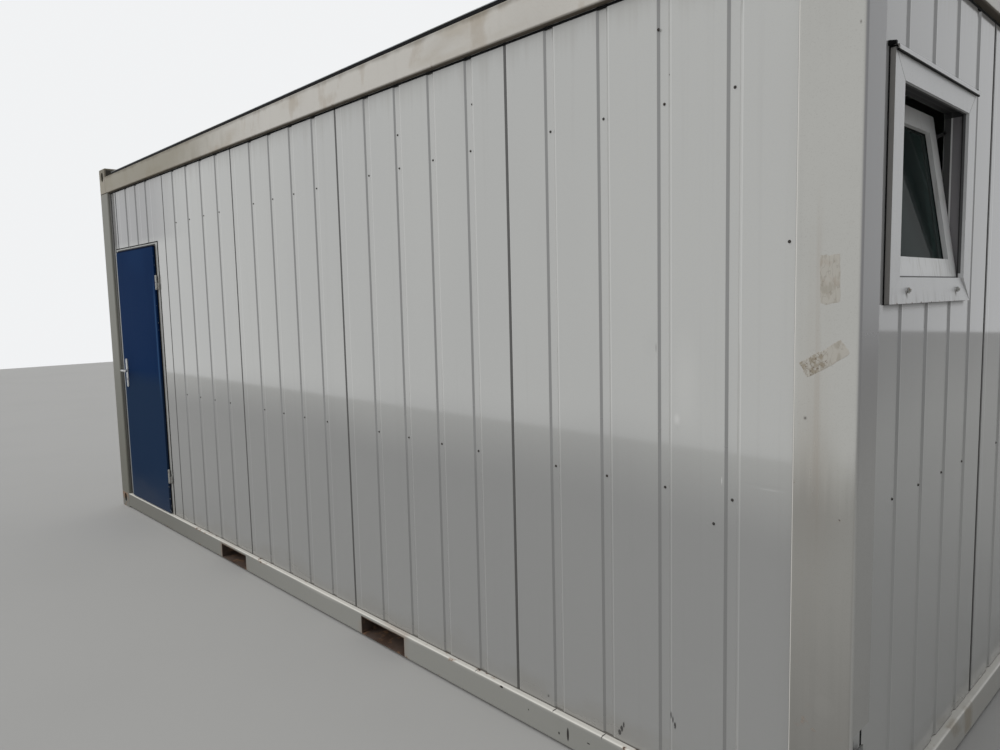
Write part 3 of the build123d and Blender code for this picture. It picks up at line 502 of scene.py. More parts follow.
wall = Finish("coil_coated_wall", (174, 174, 170), 0.055)
on_front = wall.y.rise(-1.17, -1.18)
long_wall = abs(wall.y).rise(1.16, 1.17)
end_wall = abs(wall.x).rise(2.96, 2.97)
wall.mottle(0.6, (0.9, 3, (1, 1, 2)), (0.42, 0.68), (168, 168, 165))
wall_runs = wall.clouds(34, 3, (1, 1, 45))
wall.coat(0.1 * wall_runs.rise(0.56, 0.76), (144, 143, 138), 0.2)
wall.mottle(0.05, (240, 2), (0.55, 0.72), grime, 0.2)
# Painted reflection of the ground, with a little splashed dust: the lower walls are painted darker, most on
# the long walls.
ground_reflection_and_dust = (wall.z + 0.25 * wall.clouds(1.1, 2, (2, 2, 1))).rise(1.42, 1.05)
wall.coat((0.12 + 0.58 * long_wall) * ground_reflection_and_dust, (125, 125, 124))
# Painted shade: the end walls are painted darker higher up.
end_wall_shade = end_wall * (wall.z + 0.3 * wall.clouds(1.3, 2)).rise(1.35, 1.75)
wall.coat(0.5 * end_wall_shade, (126, 125, 127))
# Painted reflection: the front wall above the door's height, at the door end, is painted darker.
over_door_reflection = on_front * wall.x.rise(-1.2, -2.2) * wall.z.rise(2.1, 2.2)
wall.coat(0.75 * over_door_reflection, (116, 115, 116))
wall.coat(0.25 * (wall.z + 0.25 * wall_runs).rise(2.6, 2.74), (130, 125, 115), 0.3)
wall_foot = (wall.z + 0.22 * wall.clouds(9, 4, (2, 2, 1))).rise(0.36, 0.2)
wall.coat(0.45 * wall_foot, road_dust, 0.62)


def front_spot(x, z, wide, tall, soft=1, deep=0.05):
    """A spot on the skin of the front wall."""
    return wall.spot((x, -1.191, z), (wide, deep, tall), soft)


scrapes = (
    (2.239, 0.152, 0.008, 0.013),
    (2.248, 0.169, 0.0075, 0.014),
    (2.257, 0.186, 0.0045, 0.013),
    (2.449, 0.3, 0.0045, 0.014),
    (2.456, 0.287, 0.003, 0.014),
    (2.464, 0.27, 0.005, 0.014),
    (1.901, 0.156, 0.005, 0.006),
)
flaked = wall.clouds(150, 3).rise(0.3, 0.42)
for scrape in scrapes:
    wall.coat(front_spot(*scrape, soft=0.4) * flaked, (40, 38, 36), 0.6)
lean_x, lean_y, _ = wall.facing()
# Painted shade: the groove slopes that face one way round the cabin are painted darker, less so low down.
shaded_slope = (lean_x * wall.y.sign()).band(groove_slope, 0.12, 0.05)
shaded_slope += (lean_y * wall.x.sign()).band(groove_slope, 0.12, 0.05)
wall.coat((0.52 + 0.16 * long_wall - 0.32 * ground_reflection_and_dust) * shaded_slope, (104, 104, 103), 0.4)
dark_joint = end_wall * wall.y.band(0, 0.014, 0.001)
for joint_x, side in [(x, -1) for x in front_joints] + [(x, 1) for x in rear_joints]:
    on_side = (side * wall.y).rise(1.16, 1.17)
    dark_joint += on_side * wall.x.band(joint_x + side * 0.0045, 0.0072, 0.001)
wall.coat(0.9 * dark_joint, (62, 61, 58), 0.6)
wall.coat(on_front * wall.x.band(-2.742, 0.0085, 0.002), (44, 44, 45), 0.6)
wall.coat(0.85 * wall.z.rise(0.1255, 0.124), (66, 62, 56), 0.8)
# Painted shadow: a dark band on the end wall just under the sill plate.
sill_shadow = wall.y.band(-0.631, 0.362, 0.01) * wall.x.rise(2.99, 2.996)
sill_shadow *= wall.z.rise(1.598, 1.626) * wall.z.rise(1.64, 1.632)
wall.coat(0.6 * sill_shadow, (64, 62, 56), 0.7)
along_side = near_shift * on_front * wall.x.rise(1.7439, 1.7441) - front_start - wall.x * wall.y.sign()
along_end = wall.y * wall.x.sign() - end_start
# Painted highlight: a thin light line on the flat just past each groove, fainter low down.
crest_highlight = long_wall * (along_side % (front_pitch / bays)).band(0.05, 0.0012, 0.0016)
end_crest_highlight = (along_end % (end_pitch / bays)).band(0.05, 0.0012, 0.0016)
crest_highlight += end_crest_highlight * abs(wall.x).rise(2.995, 2.996)
wall.coat((0.42 - 0.24 * ground_reflection_and_dust) * crest_highlight, (206, 206, 202))
# Painted shade and highlights of the dents: a dark crease, a light spot and a broad light glow.
wall.coat(0.6 * front_spot(2.395, 1.502, 0.0045, 0.022), (112, 112, 108))
wall.coat(0.35 * front_spot(2.472, 1.28, 0.016, 0.026), (214, 213, 210))
wall.coat(0.16 * front_spot(2.5, 1.4, 0.075, 0.22), (206, 205, 200))
wall.coat(0.9 * front_spot(2.6275, 1.11, 0.002, 0.018), (214, 213, 210))
dents = (
    (2.392, 1.485, 0.045, 0.095, 1.7),
    (2.474, 1.28, 0.02, 0.04, -0.5),
    (2.78, 1.112, 0.11, 0.01, 0.22),
    (2.6, 0.52, 0.12, 0.16, 1),
)
wall.height = 0.35 * wall.clouds(2.2, 1, (1, 1, 2.5)) + 0.006 * wall.clouds(160, 1)
for *dent, millimetres in dents:
    wall.height -= millimetres * on_front * front_spot(*dent, deep=0.2)
inside = abs(wall.x).rise(2.9445, 2.9425) * abs(wall.y).rise(1.1345, 1.1325)
wall.coat(inside, (212, 211, 204), 0.55)
wall.dress("front_wall_panels", "door_side_panel_left", "door_head_panel", "door_side_panel_right")
wall.close("rear_wall_panels", "left_end_panels", "right_end_panel_plain", "right_end_panel_window", IOR=1.9)

screw_paint = Finish("dark_wall_screws", (58, 57, 55), 0.55)
screw_paint.mottle(1, (300, 3), (0.5, 0.65), rust_dark, 0.8)
screw_paint.close(Metallic=0.3)

skin_low, skin_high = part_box("front_wall_panels")
wall_x, wall_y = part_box("right_end_panel_plain")[1].x, -skin_low.y
groove_deep, groove_middle = 0.005, 0.0235
seat_x, seat_y = wall_x - groove_deep, wall_y - groove_deep
screw_rows = (1.056, 2.245)
screw = turned([(0, 0), (0.0046, 0), (0.0046, 0.0008), (0.0034, 0.0014), (0.003, 0.0034), (0, 0.0038)], 12)


def groove_lines(start, pitch, panels, shift=0):
    """The middle of each groove, in panels of equal bays, along one wall."""
    grooves = pitch / bays * np.arange(1, bays) + shift + groove_middle
    return np.concatenate([start + i * pitch + grooves for i in panels])


near_lines = groove_lines(front_start, front_pitch, (4,), -near_shift)
front_lines = np.concatenate([groove_lines(front_start, front_pitch, (1, 2, 3)), near_lines])
rear_lines = -groove_lines(front_start, front_pitch, range(5))
end_lines = groove_lines(end_start, end_pitch, range(2))
odd_screws = [(x, -wall_y, z) for x, z in ((2.407, 2.467), (2.601, 0.973), (2.826, 1.803))]
odd_screws += [(x, -seat_y, z) for x, z in ((1.06, 2.387), (1.549, 2.419), (2.446, 2.327))]
window_low, window_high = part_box("window_casing")
right_screws = lattice([seat_x], end_lines, screw_rows)
past_foot = right_screws > np.array(window_low) - 0.01
before_head = right_screws < np.array(window_high) + (0.01, 0.01, 0.02)
behind_window = (past_foot & before_head)[:, 1:].all(1)
screws = [
    seated(screw, lattice(front_lines, [-seat_y], screw_rows), (0, -1, 0)),
    seated(screw, odd_screws, (0, -1, 0)),
    seated(screw, lattice(rear_lines, [seat_y], screw_rows), (0, 1, 0)),
    seated(screw, lattice([-seat_x], -end_lines, screw_rows), (-1, 0, 0)),
    seated(screw, right_screws[~behind_window], (1, 0, 0)),
]
piece("wall_screws", screws, screw_paint)

rubber = Finish("black_rubber", (20, 20, 21), 0.7)
rubber.mottle(0.3, (45, 4), (0.46, 0.68), (40, 39, 37), 0.8)
rubber.height = 0.05 * rubber.clouds(500, 2)
rubber.close(IOR=1.2)


def carried(profile, path, out, closed=False):
    """A profile of (across, out) points carried along a path and cut on the mitre at each bend."""
    profile, path, out = np.array(profile, float), np.array(path, float), unit(out)
    ahead, behind = np.roll(path, -1, 0) - path, path - np.roll(path, 1, 0)
    if not closed:
        ahead[-1], behind[0] = behind[-1], ahead[0]
    ahead, behind = unit(ahead), unit(behind)
    side = unit(np.cross(unit(ahead + behind), out))
    side = side / (side * np.cross(ahead, out)).sum(1, keepdims=True)
    points = path[:, None] + profile[:, :1] * side[:, None] + profile[:, 1:] * out
    if not closed:
        ends = points[[0, -1]].mean(1, keepdims=True) + 0 * points[[0, -1]]
        points = np.concatenate([ends[:1], points, ends[1:]])
    return points.reshape(-1, 3), grid(len(points), len(profile), closed)


def upright(profile, x, y, low, high, out):
    """A profile carried straight up between two heights."""
    return carried(profile, [(x, y, low), (x, y, high)], out)


strip = [(-0.0024, -0.0079), (0.0024, -0.0079), (0.0024, -0.0066), (0, -0.0058), (-0.0024, -0.0066)]
panel_low, panel_high = skin_low.z + 0.001, skin_high.z - 0.07
seams = [(x, -wall_y, (0, -1, 0)) for x in front_joints] + [(x, wall_y, (0, 1, 0)) for x in rear_joints]
seams += [(side * wall_x, 0, (side, 0, 0)) for side in (-1, 1)]
joint_seals = [upright(strip, x, y, panel_low, panel_high, out) for x, y, out in seams]
piece("panel_joint_seals", joint_seals, rubber)

edging = [(-0.0038, -0.0055), (0.0045, -0.0055), (0.0045, 0.0014), (0, 0.0022), (-0.0038, 0.001)]
post_in_x, post_in_y = half_x - 0.175 - 0.0048, half_y - 0.13 - 0.0048
edge_low, edge_high = rail_top + 0.004, 2.5965
head_x, head_y, head_z = post_in_x + 0.003, post_in_y + 0.003, 2.5945
edgings = []
for side in (-1, 1):
    for end in (-1, 1):
        edgings.append(upright(edging, end * post_in_x, side * wall_y, edge_low, edge_high, (0, side, 0)))
        edgings.append(upright(edging, end * wall_x, side * post_in_y, edge_low, edge_high, (end, 0, 0)))
    line = [(end * head_x, side * wall_y, head_z) for end in (-1, 1)]
    edgings.append(carried(edging, line, (0, side, 0)))
    line = [(side * wall_x, end * head_y, head_z) for end in (-1, 1)]
    edgings.append(carried(edging, line, (side, 0, 0)))
piece("wall_edge_sealant", edgings, rubber)


# Roof rails and top corner castings: the same bent steel and blocks, with rail ends welded on. Water
# stands behind the gasket, so brown patches and green grime have dried down the outer webs.

rail_low, rail_high = (corner.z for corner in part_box("front_roof_rail"))
top_x, top_y, arm = 0.14, 0.15, 0.13

top = sprayed_steel("roof_frame_paint", (190, 186, 178), 0.36)
patches = top.clouds(2.6, 6, (1.6, 1.6, 0.5))
top.coat(0.45 * patches.rise(0.52, 0.68), (156, 144, 124), 0.5)
drips = top.clouds(18, 5, (1.5, 1.5, 3))
top.coat(0.35 * (drips + 0.3 * patches).rise(0.68, 0.86), (146, 130, 108), 0.6)
far_rail = (top.x + 0.8 * drips).rise(0.3, -1.2) * top.y.rise(-1, -1.2)
top.coat(0.85 * far_rail, (126, 119, 101), 0.5)
seam_grime = (top.z + 0.03 * drips).rise(rail_high - 0.012, rail_high + 0.012)
top.coat(0.5 * seam_grime, (84, 78, 66), 0.75)
chipped(top, 0.45 * top.z.band(rail_low, 0.003, 0.022) + 0.2 * seam_grime, 40)
# Painted shade, with a little grime: the rails' undersides are painted dark brown.
soffit_shade = top.facing()[2].rise(-0.6, -0.9) * top.z.rise(rail_low + 0.002, rail_low)
top.coat(0.9 * soffit_shade, (70, 62, 52), 0.85)
lip_dirt = (top.z + 0.006 * drips).rise(rail_low + 0.01, rail_low + 0.004)
top.coat(0.5 * lip_dirt, (96, 86, 72), 0.8)
weld_line = abs(top.x).band(half_x - top_x + seam_in, 0.0035, 0.003) * abs(top.y).rise(1.19, 1.2)
weld_line += abs(top.y).band(half_y - top_y + seam_in, 0.0035, 0.003) * abs(top.x).rise(3, 3.01)
top.coat(0.7 * weld_line, (112, 104, 92), 0.7)
over_post = top.z.rise(2.605, 2.6035) * top.z.rise(2.575, 2.58) * abs(top.x).rise(2.85, 2.86)
top.coat(0.8 * over_post, (74, 66, 56), 0.85)
# Painted shade: the inner faces of the top blocks are painted near black.
in_block_shade = inside_casting(top) * top.z.rise(2.788, 2.784) * top.z.rise(2.606, 2.61)
in_block_shade *= abs(top.x).rise(half_x - 0.15, half_x - 0.138) * abs(top.y).rise(half_y - 0.16, half_y - 0.148)
top.coat(0.9 * in_block_shade, (30, 27, 24), 0.9)
top.dress("front_roof_rail", "rear_roof_rail", "left_roof_rail", "right_roof_rail")
top.close("top_corner_castings")

roof_seams = [(top_x - seam_in, top_y - seam_in, 0.004, 0.0048), (top_x + arm, top_y + arm, 0.002, 0.0024)]
piece("roof_frame_welds", corner_welds(roof_seams, rail_low + 0.006, rail_high - 0.006), top)


# Roof cross beams: primed channels between the rails, above the ceiling, out of the weather. They
# are rolled steel, welded in before the roof goes on, with a few chips from that work.

primer = sprayed_steel("grey_primed_beams", (150, 150, 146), 0.6)
chipped(primer, 0.3 * primer.clouds(2).rise(0.4, 0.6))
primer.close("roof_cross_beams")


# Ceiling lining: white-faced chipboard under the beams, its joints hidden and held up by pressed
# cover strips of the same white.

board = Finish("white_ceiling_board", (218, 217, 210), 0.6)
board.mottle(0.4, (1.6, 4), (0.45, 0.68), (204, 200, 188))
board.mottle(0.25, (350, 1), (0.55, 0.7), (190, 186, 176))
board.height = 0.04 * board.clouds(300, 2)
board.close("ceiling_lining")

ceiling_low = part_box("ceiling_lining")[0]
cover = [(-0.016, 0), (-0.014, 0.0022), (0, 0.003), (0.014, 0.0022), (0.016, 0)]
cover_y = -ceiling_low.y - 0.004
cover_lines = [[(x, end * cover_y, ceiling_low.z) for end in (-1, 1)] for x in board_joints]
covers = [carried(cover, line, (0, 0, -1)) for line in cover_lines]
piece("ceiling_cover_strips", covers, board)


# Roof edge gasket and roof: a black foam strip under a shallow gabled sheet of galvanised steel with
# standing seams, held down round its edge by screws on sealing washers.

rubber.dress("roof_edge_gasket")
roof = Finish("galvanised_roof", (150, 153, 154), 0.42)
roof.coat(0.4 * spangle(roof, 26), (172, 175, 176), 0.34)
roof.mottle(0.7, (1.5, 5, (1, 2.5, 1)), (0.46, 0.7), (124, 120, 110), 0.7)
moss = roof.clouds(14, 6).rise(0.56, 0.72)
moss *= roof.clouds(1.1, 3, shift=7).rise(0.44, 0.62)
roof.coat(0.6 * moss, (88, 88, 70), 0.9, 0.4)
roof.mottle(0.5, (18, 4, (1, 14, 1)), (0.58, 0.74), rust_light, 0.75)
roof.height += 1.2 * roof.clouds(2.2, 2)
roof.close("roof_sheet", Metallic=0.5)

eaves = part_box("roof_sheet")[0].z + 0.003
edge_in = 0.022
slope = 0.028 / half_y
screw_outline = [(0, -0.001), (0.01, -0.001), (0.01, 0.0018), (0.0062, 0.0024), (0.0062, 0.0064), (0, 0.007)]
along_eaves = np.arange(-8, 9) * 0.3 + 0.15
along_eaves = along_eaves[np.abs(along_eaves) < 2.7]
verges = (half_x - edge_in) * np.array([-1, 1])
roof_spots = np.concatenate([
    lattice(along_eaves, (-half_y + edge_in, half_y - edge_in), [eaves]),
    lattice(verges, np.linspace(-0.96, 0.96, 7), [eaves]),
])
roof_spots[:, 2] += slope * (half_y - np.abs(roof_spots[:, 1]))
roof_screws = seated(turned(screw_outline, 8), roof_spots, (0, 0, 1), (1, 0, 0))
piece("roof_screws", [roof_screws], roof)


# Door frame and threshold: a folded steel frame through the wall with a rubber seal on its face, and
# a ribbed aluminium threshold. Boots have polished the ribs and left grit between them.

leaf_low, leaf_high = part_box("door_leaf")
leaf_middle, leaf_half = (leaf_low.x + leaf_high.x) / 2, (leaf_high.x - leaf_low.x) / 2

jamb = sprayed_steel("door_frame_paint", (158, 158, 154), 0.38)
jamb_face = jamb.y.rise(-1.185, -1.19)
jamb.coat(0.7 * jamb_face * jamb.x.rise(-1.893, -1.888), (92, 76, 64), 0.6)
jamb.coat(0.5 * (jamb.z + 0.2 * jamb.clouds(12)).rise(0.42, 0.18), road_dust, 0.75)
chipped(jamb, 0.5 * jamb.z.rise(0.5, 0.14), 50)
# Painted shadow: a dark strip on the frame's face just outside the leaf's outline.
past_leaf = (abs(jamb.x - leaf_middle) - leaf_half).larger(jamb.z - leaf_high.z)
jamb.coat(0.9 * jamb_face * past_leaf.rise(0.0115, 0.01), (34, 33, 33), 0.8)
jamb.close("door_frame")


def rectangle(left, right, foot, head):
    """The four corners, once round from the lower left."""
    return [(left, foot), (right, foot), (right, head), (left, head)]


frame_low, frame_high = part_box("door_frame")
seal_in = 0.006
seal_ring = np.stack(circle(12), 1) * (0.004, 0.0027) + (0, 0.0028)
seal_sides = leaf_low.x + seal_in, leaf_high.x - seal_in
seal_corners = rectangle(*seal_sides, leaf_low.z + seal_in, leaf_high.z - seal_in)
seal_path = [(x, frame_low.y, z) for x, z in seal_corners]
piece("door_seal", [carried(seal_ring, seal_path, (0, -1, 0), closed=True)], rubber)

mastic = [(-0.0045, 0), (0.0045, 0), (0.0035, 0.0026), (0, 0.0036), (-0.0035, 0.0026)]
left, foot, head, right = frame_low.x, edge_low, frame_high.z, frame_high.x
mastic_path = [(x, -wall_y, z) for x, z in ((left, foot), (left, head), (right, head), (right, foot))]
piece("door_frame_mastic", [carried(mastic, mastic_path, (0, -1, 0))], rubber)

tread = Finish("ribbed_aluminium", (168, 168, 166), 0.35)
tread.mottle(0.7, (20, 4, (4, 1, 1)), (0.45, 0.65), grime, 0.8)
tread.mottle(0.4, (160, 3, (1, 9, 1)), (0.55, 0.7), (206, 206, 204), 0.25)
tread.close("door_threshold", Metallic=0.8)
sill_low, sill_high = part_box("door_threshold")
ribs = np.linspace(-0.026, 0.026, 53)
rib_top = 0.0007 + 0.0006 * np.cos(2 * np.pi * ribs / 0.0065)
rib_profile = np.concatenate([np.stack([ribs, rib_top], 1), [(0.026, 0), (-0.026, 0)]])
sill_y = (sill_low.y + sill_high.y) / 2
sill_line = [(x, sill_y, sill_high.z) for x in (sill_low.x + 0.004, sill_high.x - 0.004)]
piece("threshold_ribs", [carried(rib_profile, sill_line, (0, 0, 1))], tread)


# Door leaf: two folded steel skins over foam, sprayed deep blue after folding. Sun has faded it near
# the top, hands have rubbed it round the lever, and grit has scuffed its foot.

blue = Finish("door_blue_paint", (13, 40, 76), 0.34)
blue.mottle(0.6, (1.6, 4, (1, 1, 1.6)), (0.44, 0.7), (10, 34, 68), 0.4)
blue.coat(0.3 * (blue.z + 0.5 * blue.clouds(2.2)).rise(2.15, 2.5), (30, 56, 92), 0.5)
blue.mottle(0.15, (34, 3, (1, 1, 40)), (0.52, 0.72), (30, 52, 82), 0.5)
blue.mottle(0.05, (280, 2), (0.55, 0.72), (120, 122, 122), 0.5)
blue.coat(0.55 * (blue.z + 0.1 * blue.clouds(3)).rise(1.26, 1.1), (40, 54, 70), 0.5)
scuffed = (blue.z + 0.35 * blue.clouds(6, 4, (3, 1, 1))).rise(0.62, 0.28)
blue.coat(0.1 * scuffed, road_dust, 0.6)
hand = blue.spot((leaf_low.x + 0.1, leaf_low.y, 1.17), (0.13, 0.4, 0.22))
blue.coat(0.25 * hand * blue.clouds(60, 4).rise(0.4, 0.6), (18, 34, 60), 0.22)
leaf_edge = abs(blue.x - leaf_middle).rise(0.407, 0.4095)
# Painted highlight: a light line along the left edge of the leaf's outer face.
left_edge_highlight = blue.x.rise(leaf_low.x + 0.007, leaf_low.x + 0.004) * blue.y.rise(-1.2095, -1.2105)
blue.coat(0.8 * left_edge_highlight, (160, 168, 174), 0.5)
worn_tip = blue.spot((leaf_low.x, leaf_low.y, leaf_high.z), (0.03, 0.02, 0.022), 0.5)
blue.coat(0.8 * worn_tip, (176, 184, 190), 0.5)
# Painted sheen: a lighter blue band along the fold by the hinges, at mid height.
hinge_fold_sheen = blue.x.band(leaf_high.x - 0.03, 0.006, 0.01) * blue.y.rise(-1.2105, -1.2115)
blue.coat(0.3 * hinge_fold_sheen * blue.z.band(1.42, 0.22, 0.3), (74, 112, 152), 0.4)
# Painted shadow: a dark strip along the top of the leaf.
top_fold_shadow = blue.z.rise(leaf_high.z - 0.014, leaf_high.z - 0.009)
blue.coat(0.75 * top_fold_shadow, (16, 18, 24), 0.6)
blue_chips = blue.clouds(80, 5, shift=5) + 0.12 * leaf_edge + 0.12 * scuffed
blue.coat(blue_chips.rise(0.8, 0.82), (150, 152, 150), 0.6, -0.2)
blue.height += 0.4 * blue.clouds(2.8, 1) + 0.01 * blue.clouds(200, 1)
blue.close("door_leaf", IOR=1.03)


# Hinges: pairs of turned steel knuckles, zinc plated, with a tongue to the frame and one to the leaf,
# a domed cap on each pin, and rust that weeps from between the knuckles.

plated = Finish("plated_hinges", (168, 168, 164), 0.38)
plated.mottle(1, (60, 4), (0.52, 0.68), (138, 130, 118), 0.6)
plated.mottle(0.8, (110, 4), (0.62, 0.7), rust_light, 0.8)
plated.close("door_hinges_frame_half", "door_hinges_leaf_half", Metallic=0.45)

pin_x, pin_y = -1.922, -1.205
crowns, feet = (1.9, 0.461), (1.8, 0.361)
pin_cap = turned([(0, 0), (0.0076, 0), (0.007, 0.0016), (0.004, 0.003), (0, 0.0034)], 16)
upper_caps = seated(pin_cap, [(pin_x, pin_y, z) for z in crowns], (0, 0, 1), (1, 0, 0))
lower_caps = seated(pin_cap, [(pin_x, pin_y, z) for z in feet], (0, 0, -1), (1, 0, 0))
piece("hinge_caps_upper", [upper_caps], plated, body="door")
piece("hinge_caps_lower", [lower_caps], plated)


# Handle plates and levers: satin-anodised aluminium plates held by two screws, with a key cylinder,
# and oval lever bars bent through a right angle on one spindle.

satin = Finish("satin_aluminium", (196, 197, 197), 0.34)
satin.mottle(0.5, (260, 2, (1, 1, 14)), (0.45, 0.65), (170, 171, 172), 0.42)
satin.mottle(0.4, (40, 4), (0.55, 0.7), grime, 0.6)
satin.height = 0.02 * satin.clouds(500, 2, (1, 1, 20))
satin.close("door_handle_plates", "door_levers", Metallic=0.85)

plate_low, plate_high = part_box("door_handle_plates")
lever_x = (plate_low.x + plate_high.x) / 2
lever_z, key_proud = 1.172, 0.004
plate_screw_z, keyway_z = (1.25, 1.052), (1.0945, 1.1035)
collar = [(0.0066, 0), (0.015, 0), (0.015, 0.0006), (0.0135, 0.0009), (0.0066, 0.0009), (0.0066, 0)]
collar = turned(collar, 24)
plate_screw = [(0, 0), (0.0045, 0), (0.0043, 0.001), (0.003, 0.0016), (0.0012, 0.0016), (0, 0.0006)]
plate_screw = turned(plate_screw, 12)
keyhole = [(-0.0011, 0), (0.0011, 0), (0.0011, 0.0003), (-0.0011, 0.0003)]
fittings, keyways = [], []
for key_y, out in ((plate_low.y, -1), (plate_high.y, 1)):
    face_y = key_y - out * key_proud
    fittings.append(seated(collar, [(lever_x, face_y, lever_z)], (0, out, 0)))
    fittings.append(seated(plate_screw, [(lever_x, face_y, z) for z in plate_screw_z], (0, out, 0)))
    keyways.append(carried(keyhole, [(lever_x, key_y, z) for z in keyway_z], (0, out, 0)))
piece("plate_fittings", fittings, satin, body="door")
piece("key_slots", keyways, rubber, body="door")


# Window casing, sill plate and drip flashing: white-coated boards mitred round the opening over a
# black foam strip, a sloping plate held by two bolts, and a folded flashing with sealant under it.

window_middle = (window_low.y + window_high.y) / 2
plate_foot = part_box("window_sill_plate")[0].z
bolt_places = [(3.0203, window_middle + reach, 1.6635) for reach in (-0.227, 0.227)]

casing = sprayed_steel("white_casing", (207, 207, 206), 0.38)
casing_turn = abs(casing.y - window_middle)
casing_drop = window_high.z - casing.z
mitre_gap = (window_high.y - window_low.y) / 2 - casing_turn - casing_drop
upper_mitre = mitre_gap.band(0, 0.0006, 0.001) * casing_drop.rise(0.076, 0.074)
casing.coat(0.8 * upper_mitre, (96, 94, 90), 0.7, -0.4)
bolt_runs = casing.clouds(50, 4, (1, 1, 18)).rise(0.46, 0.66)
casing.coat(0.25 * casing.z.rise(1.68, 1.62) * bolt_runs, (140, 134, 124), 0.6)
# Painted shade: the casing's side face toward -Y is painted darker.
return_face_shade = casing.y.rise(window_low.y + 0.0012, window_low.y + 0.0004)
casing.coat(0.7 * return_face_shade, (104, 98, 90), 0.6)
# Painted shade: the casing's inner faces round the opening are painted near black.
inward_shade = casing.x.rise(3.009, 3.008) * casing_turn.rise(0.32, 0.318) * casing.z.rise(1.715, 1.716)
casing.coat(0.9 * inward_shade, (44, 44, 45), 0.7)
for _, bolt_y, bolt_z in bolt_places:
    weep = casing.spot((3.016, bolt_y, bolt_z - 0.0075), (0.03, 0.013, 0.022))
    casing.coat(0.8 * weep, (84, 76, 66), 0.7)
    bolt = casing.spot((3.021, bolt_y, bolt_z), (0.006, 0.0095, 0.0095), 0.1) * casing.x.rise(3.015, 3.016)
    casing.coat(0.9 * bolt, (88, 84, 78), 0.5)
chipped(casing, 0.75 * casing.z.rise(1.634, 1.627))
casing.close("window_casing", "window_sill_plate", "window_drip_flashing")

sill_nut = [(0, 0), (0.009, 0), (0.009, 0.0012), (0.0072, 0.0014), (0.0072, 0.003), (0.0044, 0.0034)]
sill_nut = turned(sill_nut + [(0.0044, 0.006), (0.0034, 0.0066), (0, 0.0066)], 12)
piece("sill_plate_bolts", [seated(sill_nut, bolt_places, (1, 0, 0))], plated)

foam = [(-0.007, 0), (0.004, 0), (0.004, 0.0036), (-0.007, 0.0036)]
foam_in = 0.0025
foam_sides = window_low.y + foam_in, window_high.y - foam_in
foam_corners = rectangle(*foam_sides, plate_foot + foam_in, window_high.z - 0.004)
foam_path = [(wall_x, y, z) for y, z in foam_corners]
piece("casing_foam_strip", [carried(foam, foam_path, (1, 0, 0), closed=True)], rubber)

drip_low, drip_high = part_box("window_drip_flashing")
sealant = [(-0.002, 0), (0.003, 0), (0.003, 0.014), (0.0005, 0.021), (-0.002, 0.021)]
drip_line = [(wall_x, y, drip_low.z + 0.0085) for y in (drip_low.y - 0.001, drip_high.y + 0.001)]
piece("drip_sealant", [carried(sealant, drip_line, (1, 0, 0))], rubber)
# The flashing's lip is a thin black strip, a painted shadow under the flashing; the end caps are black
# rubber.
shadow_lip = [(0, -0.006), (0.0045, -0.006), (0.0045, -0.0004), (0, -0.0004)]
shadow_lip_line = [(drip_high.x, y, drip_low.z + 0.0004) for y in (drip_low.y, drip_high.y)]
end_cap = [(-0.007, 0), (0.006, 0), (0.0035, 0.0205), (-0.004, 0.0205), (-0.007, 0.003)]
caps = [carried(shadow_lip, shadow_lip_line, (1, 0, 0))]
for ends in ((drip_low.y - 0.01, drip_low.y + 0.0005), (drip_high.y - 0.0005, drip_high.y + 0.002)):
    caps.append(carried(end_cap, [(wall_x, y, drip_high.z - 0.01) for y in ends], (1, 0, 0)))
piece("drip_caps_and_shadow_lip", caps, rubber)


# Window frame, tilted sash and glass: white plastic sections welded at their mitres, a sealed glass
# unit between rubber gaskets, flat steel stays on both sides, and a handle inside.

plastic = Finish("white_window_plastic", (216, 216, 214), 0.32)
plastic.mottle(0.4, (3, 3), (0.45, 0.7), (202, 201, 196))
plastic.mottle(0.35, (70, 4, (1, 1, 12)), (0.52, 0.72), (160, 156, 146), 0.5)
foot_line = plastic.z.rise(1.7058, 1.7048) * plastic.x.rise(2.975, 2.98)
plastic.coat(0.9 * foot_line, (52, 52, 52), 0.7)
plastic.height = 0.02 * plastic.clouds(300, 1)
plastic.close("window_sash")

opening_low, opening_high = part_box("window_frame")
opening_y, opening_z = (opening_low.y + opening_high.y) / 2, (opening_low.z + opening_high.z) / 2
jamb_y = (opening_high.y - opening_low.y) / 2 - 0.038
black = (24, 24, 25)

rebate = Finish("shaded_white_window_frame", (206, 206, 204), 0.4)
rebate.mottle(0.4, (40, 4, (1, 1, 9)), (0.5, 0.72), (150, 146, 138), 0.5)
# Painted shade: the frame's jambs in the opening are painted grey, its deeper parts and head rebate near
# black, and its outer edge black.
in_opening = abs(rebate.y - opening_y).rise(jamb_y, jamb_y - 0.001)
in_opening *= abs(rebate.z - opening_z).rise(0.2817, 0.2807)
rebate.coat(0.95 * in_opening * rebate.x.rise(2.9665, 2.9675), (120, 117, 119), 0.55)
past_face = 0.95 * rebate.x.rise(2.9412, 2.9418)
rebate.coat(past_face * rebate.x.rise(2.9625, 2.9615), black, 0.7)
rebate.coat(past_face * rebate.z.rise(2.227, 2.2285), (30, 30, 31), 0.7)
rebate.coat(0.95 * rebate.x.rise(2.9925, 2.9945), black, 0.7)
rebate.height = 0.03 * rebate.clouds(260, 2)
rebate.close("window_frame")

glass = Finish("sealed_glass_unit", (128, 146, 143), 0.03)
glass.mottle(0.5, (5, 4, (1, 1, 3)), (0.45, 0.7), (112, 130, 127), 0.05)
glass.height = 0.02 * glass.clouds(3, 1)
glass.close("window_glass", Transmission_Weight=0.94, IOR=1.06)

